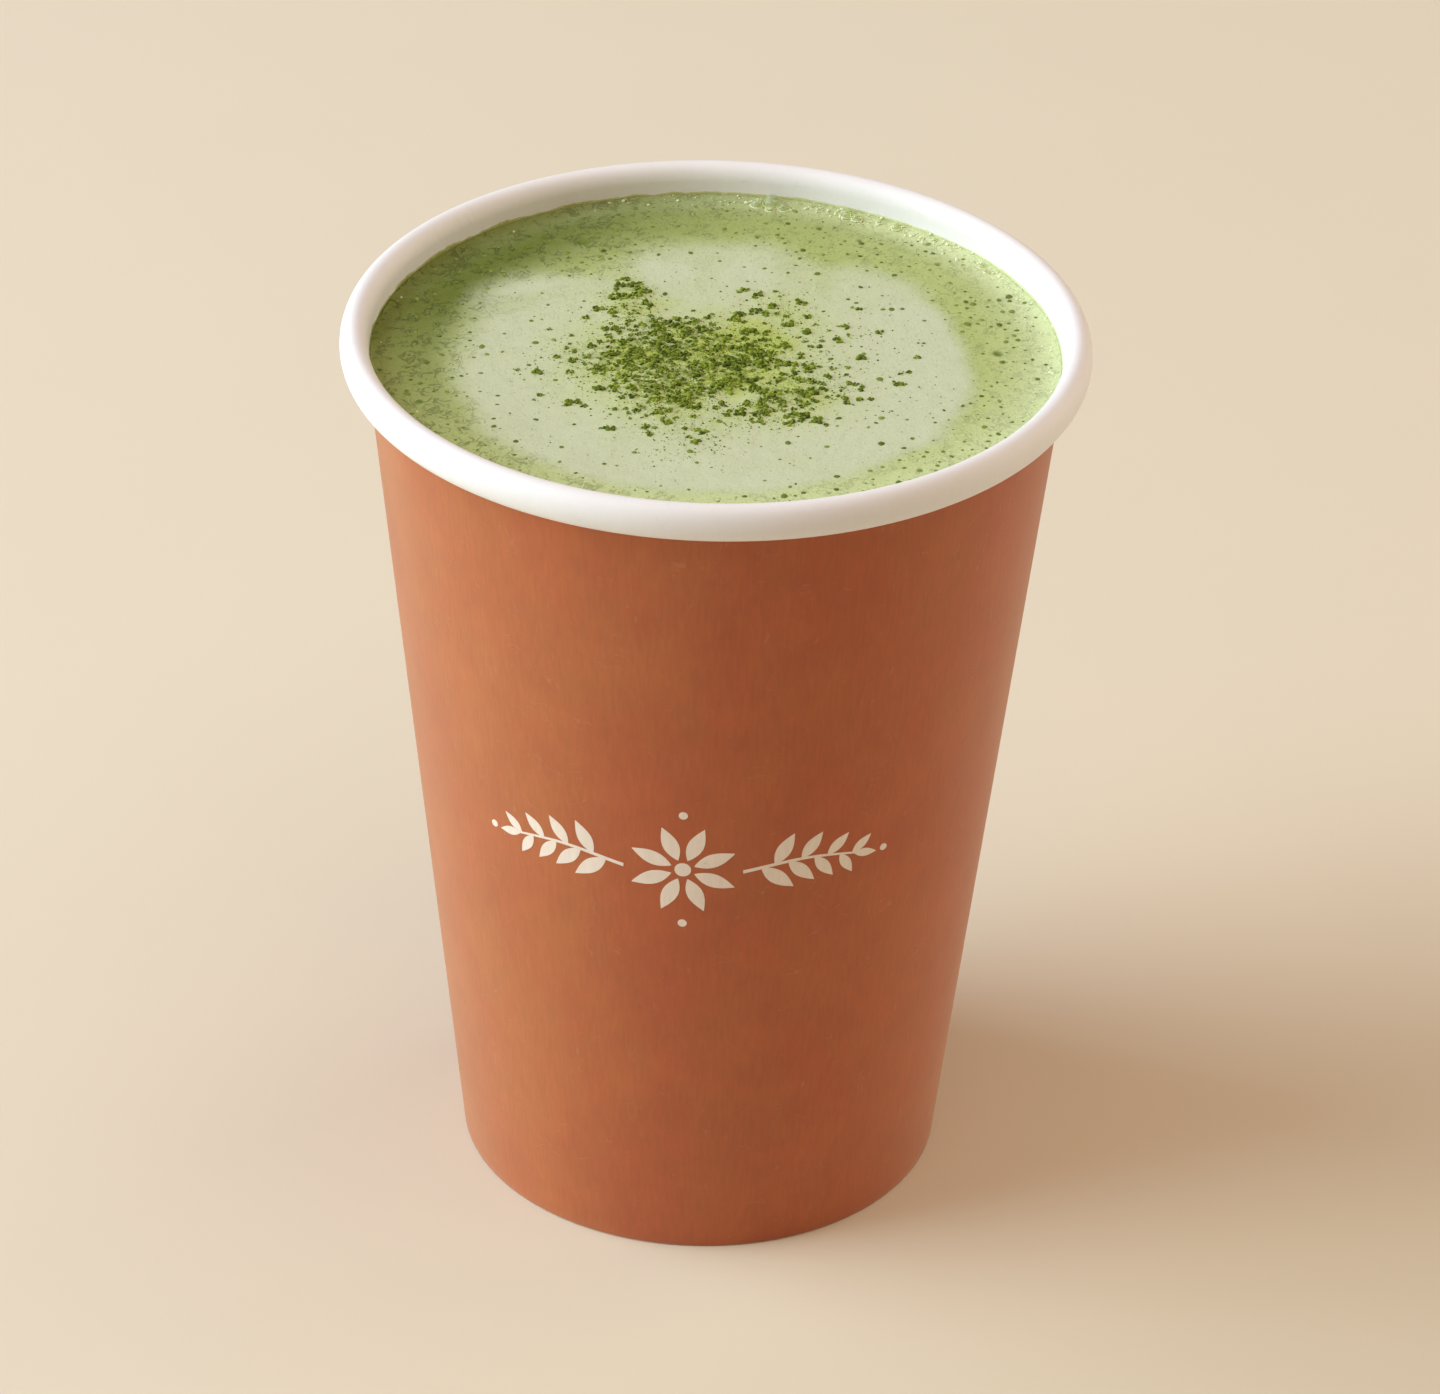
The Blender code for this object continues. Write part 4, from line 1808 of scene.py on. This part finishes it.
@dataclass
class PrintedOrnament:
    """A plain flower between two leafy sprigs, printed in cream on the wall, in millimetres."""

    cup: PaperCup
    angle: float = -94.0
    height: float = 60.0
    petals: int = 8
    petal_start: float = 1.5
    petal_length: float = 5.2
    sprig_start: float = 8.4
    sprig_end: float = 21.6
    sprig_wave: float = 0.9
    leaves: int = 8
    leaf_length: float = 5.4
    leaf_lean: float = 52.0
    leaf_width: float = 0.185
    blunt: float = 0.004
    stem_overlap: float = 1.2
    tip_length: float = 3.2
    stem_width: float = 0.50
    dots: tuple[tuple[float, float, float], ...] = (
        (0.0, 0.0, 1.0), (0.0, 8.2, 0.55), (0.0, -8.2, 0.55), (25.4, -0.5, 0.50), (-25.4, -0.5, 0.50),
    )
    ink_above: float = 0.03
    ink_below: float = 0.05

    def stem(self, s: float) -> float:
        """How high the right sprig's stem runs at a place along it."""
        share = (s - self.sprig_start) / (self.sprig_end - self.sprig_start)
        return self.sprig_wave * math.sin(math.pi * share)

    def laid_leaves(self) -> ndarray:
        """Every petal and leaf, the left sprig mirroring the right.

        Returns:
            A row for each: where it starts, which way it points and how long it is.
        """
        petals, sprig = [], []
        for i in range(self.petals):
            turned = math.tau * (i + 0.5) / self.petals
            start = self.petal_start * math.cos(turned), self.petal_start * math.sin(turned)
            petals.append((*start, turned, self.petal_length))
        for i in range(self.leaves):
            share = (i + 0.6) / self.leaves
            s = self.sprig_start + share * (self.sprig_end - self.sprig_start)
            rise = (self.stem(s + 0.1) - self.stem(s - 0.1)) / 0.2
            turned = math.atan(rise) + (1 if i % 2 else -1) * math.radians(self.leaf_lean)
            sprig.append((s, self.stem(s), turned, self.leaf_length * (1.0 - 0.40 * share)))
        tip = self.stem(self.sprig_end)
        end = math.atan((tip - self.stem(self.sprig_end - 0.2)) / 0.2)
        sprig.append((self.sprig_end - 0.4, tip, end, self.tip_length))
        return np.array(petals + sprig + [(-x, y, math.pi - t, length) for x, y, t, length in sprig])

    @staticmethod
    def slab(name: str, middle: ndarray, half: ndarray) -> Mesh:
        """Makes a flat closed slab about a middle line.

        Args:
            name: the mesh's name.
            middle: the line's points, as x and y.
            half: half the slab's width at each of them.

        Returns:
            The slab, from 1 below the surface to 1 above it.
        """
        x, y = middle.T
        rows = np.stack([np.stack([x, y + side * half], axis=-1) for side in (1.0, 0.0, -1.0)])
        count = len(x)
        levels = [np.dstack([rows, np.full(rows.shape[:2], level)]) for level in (1.0, -1.0)]
        quads = np.arange(3 * count).reshape(3, count)
        flat = np.stack([quads[:-1, :-1], quads[:-1, 1:], quads[1:, 1:], quads[1:, :-1]], axis=-1)
        faces = flat.reshape(-1, 4).tolist() + (flat + 3 * count).reshape(-1, 4).tolist()
        rim = [*quads[0], quads[1, -1], *quads[2, ::-1], quads[1, 0]]
        rim = [int(v) for v in rim]
        faces += [[a, b, b + 3 * count, a + 3 * count] for a, b in zip(rim, rim[1:] + rim[:1])]
        return mesh_of(name, np.concatenate(levels).reshape(-1, 3), faces)

    def leaf_mesh(self) -> Mesh:
        """A broad rounded leaf, one unit long.

        Returns:
            The mesh.
        """
        along = np.linspace(0.0, 1.0, 15)
        wide = self.leaf_width * np.sin(math.pi * along**0.9) + self.blunt
        return self.slab("leaf", np.stack([along, 0.0 * along], axis=-1), wide)

    def stem_meshes(self) -> list[Mesh]:
        """The two stems, the flower's heart and the small berries.

        Returns:
            Their meshes.
        """
        along = np.linspace(self.sprig_start - self.stem_overlap, self.sprig_end, 40)
        half = np.linspace(0.5, 0.28, len(along)) * self.stem_width
        rises = [self.stem(s) for s in along]
        meshes = [self.slab("stem", np.stack([side * along, rises], axis=-1), half) for side in (1.0, -1.0)]
        turned = np.linspace(math.pi, 0.0, 13)
        for x, y, radius in self.dots:
            middle = np.stack([x + radius * np.cos(turned), np.full(13, y)], axis=-1)
            meshes.append(self.slab("dot", middle, radius * np.sin(turned) + self.blunt))
        return meshes

    def wrap(self, mesh: Mesh) -> None:
        """Lays the flat design on the cup's wall.

        Args:
            mesh: the design, in millimetres, with z as its level.
        """
        for vert in mesh.vertices:
            across, up, level = vert.co
            z = (self.height + up * math.cos(math.atan(self.cup.slope))) * MM
            reach = self.cup.outer(z) + (self.ink_above if level > 0 else -self.ink_below) * MM
            turned = math.radians(self.angle) + across * MM / self.cup.outer(z)
            vert.co = (reach * math.cos(turned), reach * math.sin(turned), z)

    def mesh(self, finish: Material) -> Mesh:
        """The whole design on the wall.

        Args:
            finish: the leaves' material.

        Returns:
            The mesh.
        """
        x, y, turned, length = self.laid_leaves().T
        points = mesh_of("leaf_places", np.stack([x, y, 0.0 * x], axis=-1), [])
        store(points, "turned", turned)
        store(points, "length", length)
        leaf = bpy.data.objects.new("leaf", self.leaf_mesh())
        leaves = grown("leaf_places", points, leaf_tree(), {"Leaf": leaf, "Finish": finish})
        bpy.data.objects.remove(leaf, do_unlink=True)
        whole = united("printed_ornament", [leaves, *self.stem_meshes()])
        self.wrap(whole)
        return whole

    def build(self, effects: Effects) -> None:
        """Makes and dresses the ornament."""
        cream = CREAM_PRINT.build(effects)
        place_piece(new_object("printed_ornament", self.mesh(cream)), cream)


@dataclass(frozen=True)
class SoftLight:
    """A square soft light that faces the cup, in metres and watts."""

    name: str
    place: tuple[float, float, float]
    size: float
    power: float
    colour: Colour

    def hang(self, aim: tuple[float, float, float]) -> None:
        """Puts the light in the scene, facing a place.

        Args:
            aim: the place that it faces.
        """
        light = bpy.data.lights.new(self.name, "AREA")
        light.size = self.size
        light.energy = self.power
        light.color = self.colour
        holder = bpy.data.objects.new(self.name, light)
        holder.location = self.place
        towards = Vector(aim) - Vector(self.place)
        holder.rotation_euler = towards.to_track_quat("-Z", "Y").to_euler()
        bpy.context.scene.collection.objects.link(holder)


@dataclass
class Studio:
    """The pale floor, the soft lights and the camera."""

    floor_colour: Colour = (0.906, 0.870, 0.781)
    shadowed_floor_colour: Colour = (0.854, 0.820, 0.718)
    floor_half: float = 3.0
    room_colour: Colour = (1.0, 0.67, 0.50)
    room_strength: float = 0.21
    lights: tuple[SoftLight, ...] = (
        SoftLight("key", (-1.38, -0.05, 1.05), 1.5, 31.6, (0.70, 0.81, 1.0)),
        SoftLight("left_kicker", (-1.6, -0.17, 0.35), 0.9, 14.2, (0.87, 1.0, 0.85)),
        SoftLight("overhead", (0.25, -0.35, 1.6), 1.4, 9.2, (1.0, 0.80, 0.60)),
        SoftLight("right_kicker", (1.6, -0.2, 0.35), 0.9, 3.0, (0.95, 0.91, 0.72)),
        SoftLight("bounce", (1.1, 0.6, 0.45), 0.8, 4.5, (1.0, 0.87, 0.76)),
    )
    light_aim: tuple[float, float, float] = (0.0, 0.0, 0.06)
    camera_place: tuple[float, float, float] = (0.0, -685.35 * MM, 480.70 * MM)
    camera_aim: tuple[float, float, float] = (1.461 * MM, 0.0, 61.965 * MM)
    camera_roll: float = 1.389
    focal_length: float = 162.5
    sensor_width: float = 36.0

    def build(self) -> None:
        """Makes the whole studio."""
        bpy.context.scene.view_settings.view_transform = "Standard"
        self._floor()
        for light in self.lights:
            light.hang(self.light_aim)
        self._world()
        self._camera()

    def _floor(self) -> None:
        """A large pale sheet under the cup, with painted shade at the front right."""

        def model(bm: BMesh) -> None:
            """A flat sheet."""
            bmesh.ops.create_grid(bm, x_segments=4, y_segments=4, size=self.floor_half)

        floor = new_object("floor", modelled("floor", model))
        finish = Finish("floor_paper", {"Roughness": 0.85, "Specular IOR Level": 0.2})
        where = finish.place()
        lively = (finish.noise(where, 30.0, 3.0) - 0.5) * 0.02 + 1.0
        # painted shade on the floor in front of and to the right of the cup
        nearer = finish.step(finish.axis(where, 1), 0.0, -100.0 * MM)
        painted_floor_shade = nearer * finish.step(finish.axis(where, 0), -90.0 * MM, 40.0 * MM)
        sheet = finish.blend(painted_floor_shade, linear(self.floor_colour), linear(self.shadowed_floor_colour))
        finish.drive({"Base Color": finish.scaled(sheet, lively)})
        floor.data.materials.append(finish.material)

    def _world(self) -> None:
        """A warm white room light."""
        world = bpy.data.worlds.new("room")
        world.use_nodes = True
        background = world.node_tree.nodes["Background"]
        background.inputs["Color"].default_value = (*self.room_colour, 1.0)
        background.inputs["Strength"].default_value = self.room_strength
        bpy.context.scene.world = world

    def _camera(self) -> None:
        """The camera at the photograph's angle, with its slight roll."""
        data = bpy.data.cameras.new("camera")
        data.lens = self.focal_length
        data.sensor_width = self.sensor_width
        data.clip_end = 20.0
        camera = bpy.data.objects.new("camera", data)
        towards = Vector(self.camera_aim) - Vector(self.camera_place)
        rolled = Matrix.Rotation(math.radians(self.camera_roll), 3, "Z")
        turned = towards.to_track_quat("-Z", "Y").to_matrix() @ rolled
        camera.matrix_world = Matrix.Translation(self.camera_place) @ turned.to_4x4()
        bpy.context.scene.collection.objects.link(camera)
        bpy.context.scene.camera = camera


def main() -> None:
    """Builds the cup, the drink and what lies on it, then the studio."""
    logging.basicConfig(level=logging.INFO, format="%(message)s")
    effects = Effects()
    cup = PaperCup.from_frame()
    cup.build(effects)
    PrintedOrnament(cup).build(effects)
    drink = Drink(cup)
    surface = drink.build(effects)
    scatter = scatter_tree()
    SiftedPowder().build(surface, scatter)
    WallFilm(drink).build(effects)
    WallBubbles(drink).build(surface, scatter, effects)
    Studio().build()


if __name__ == "__main__":
    main()
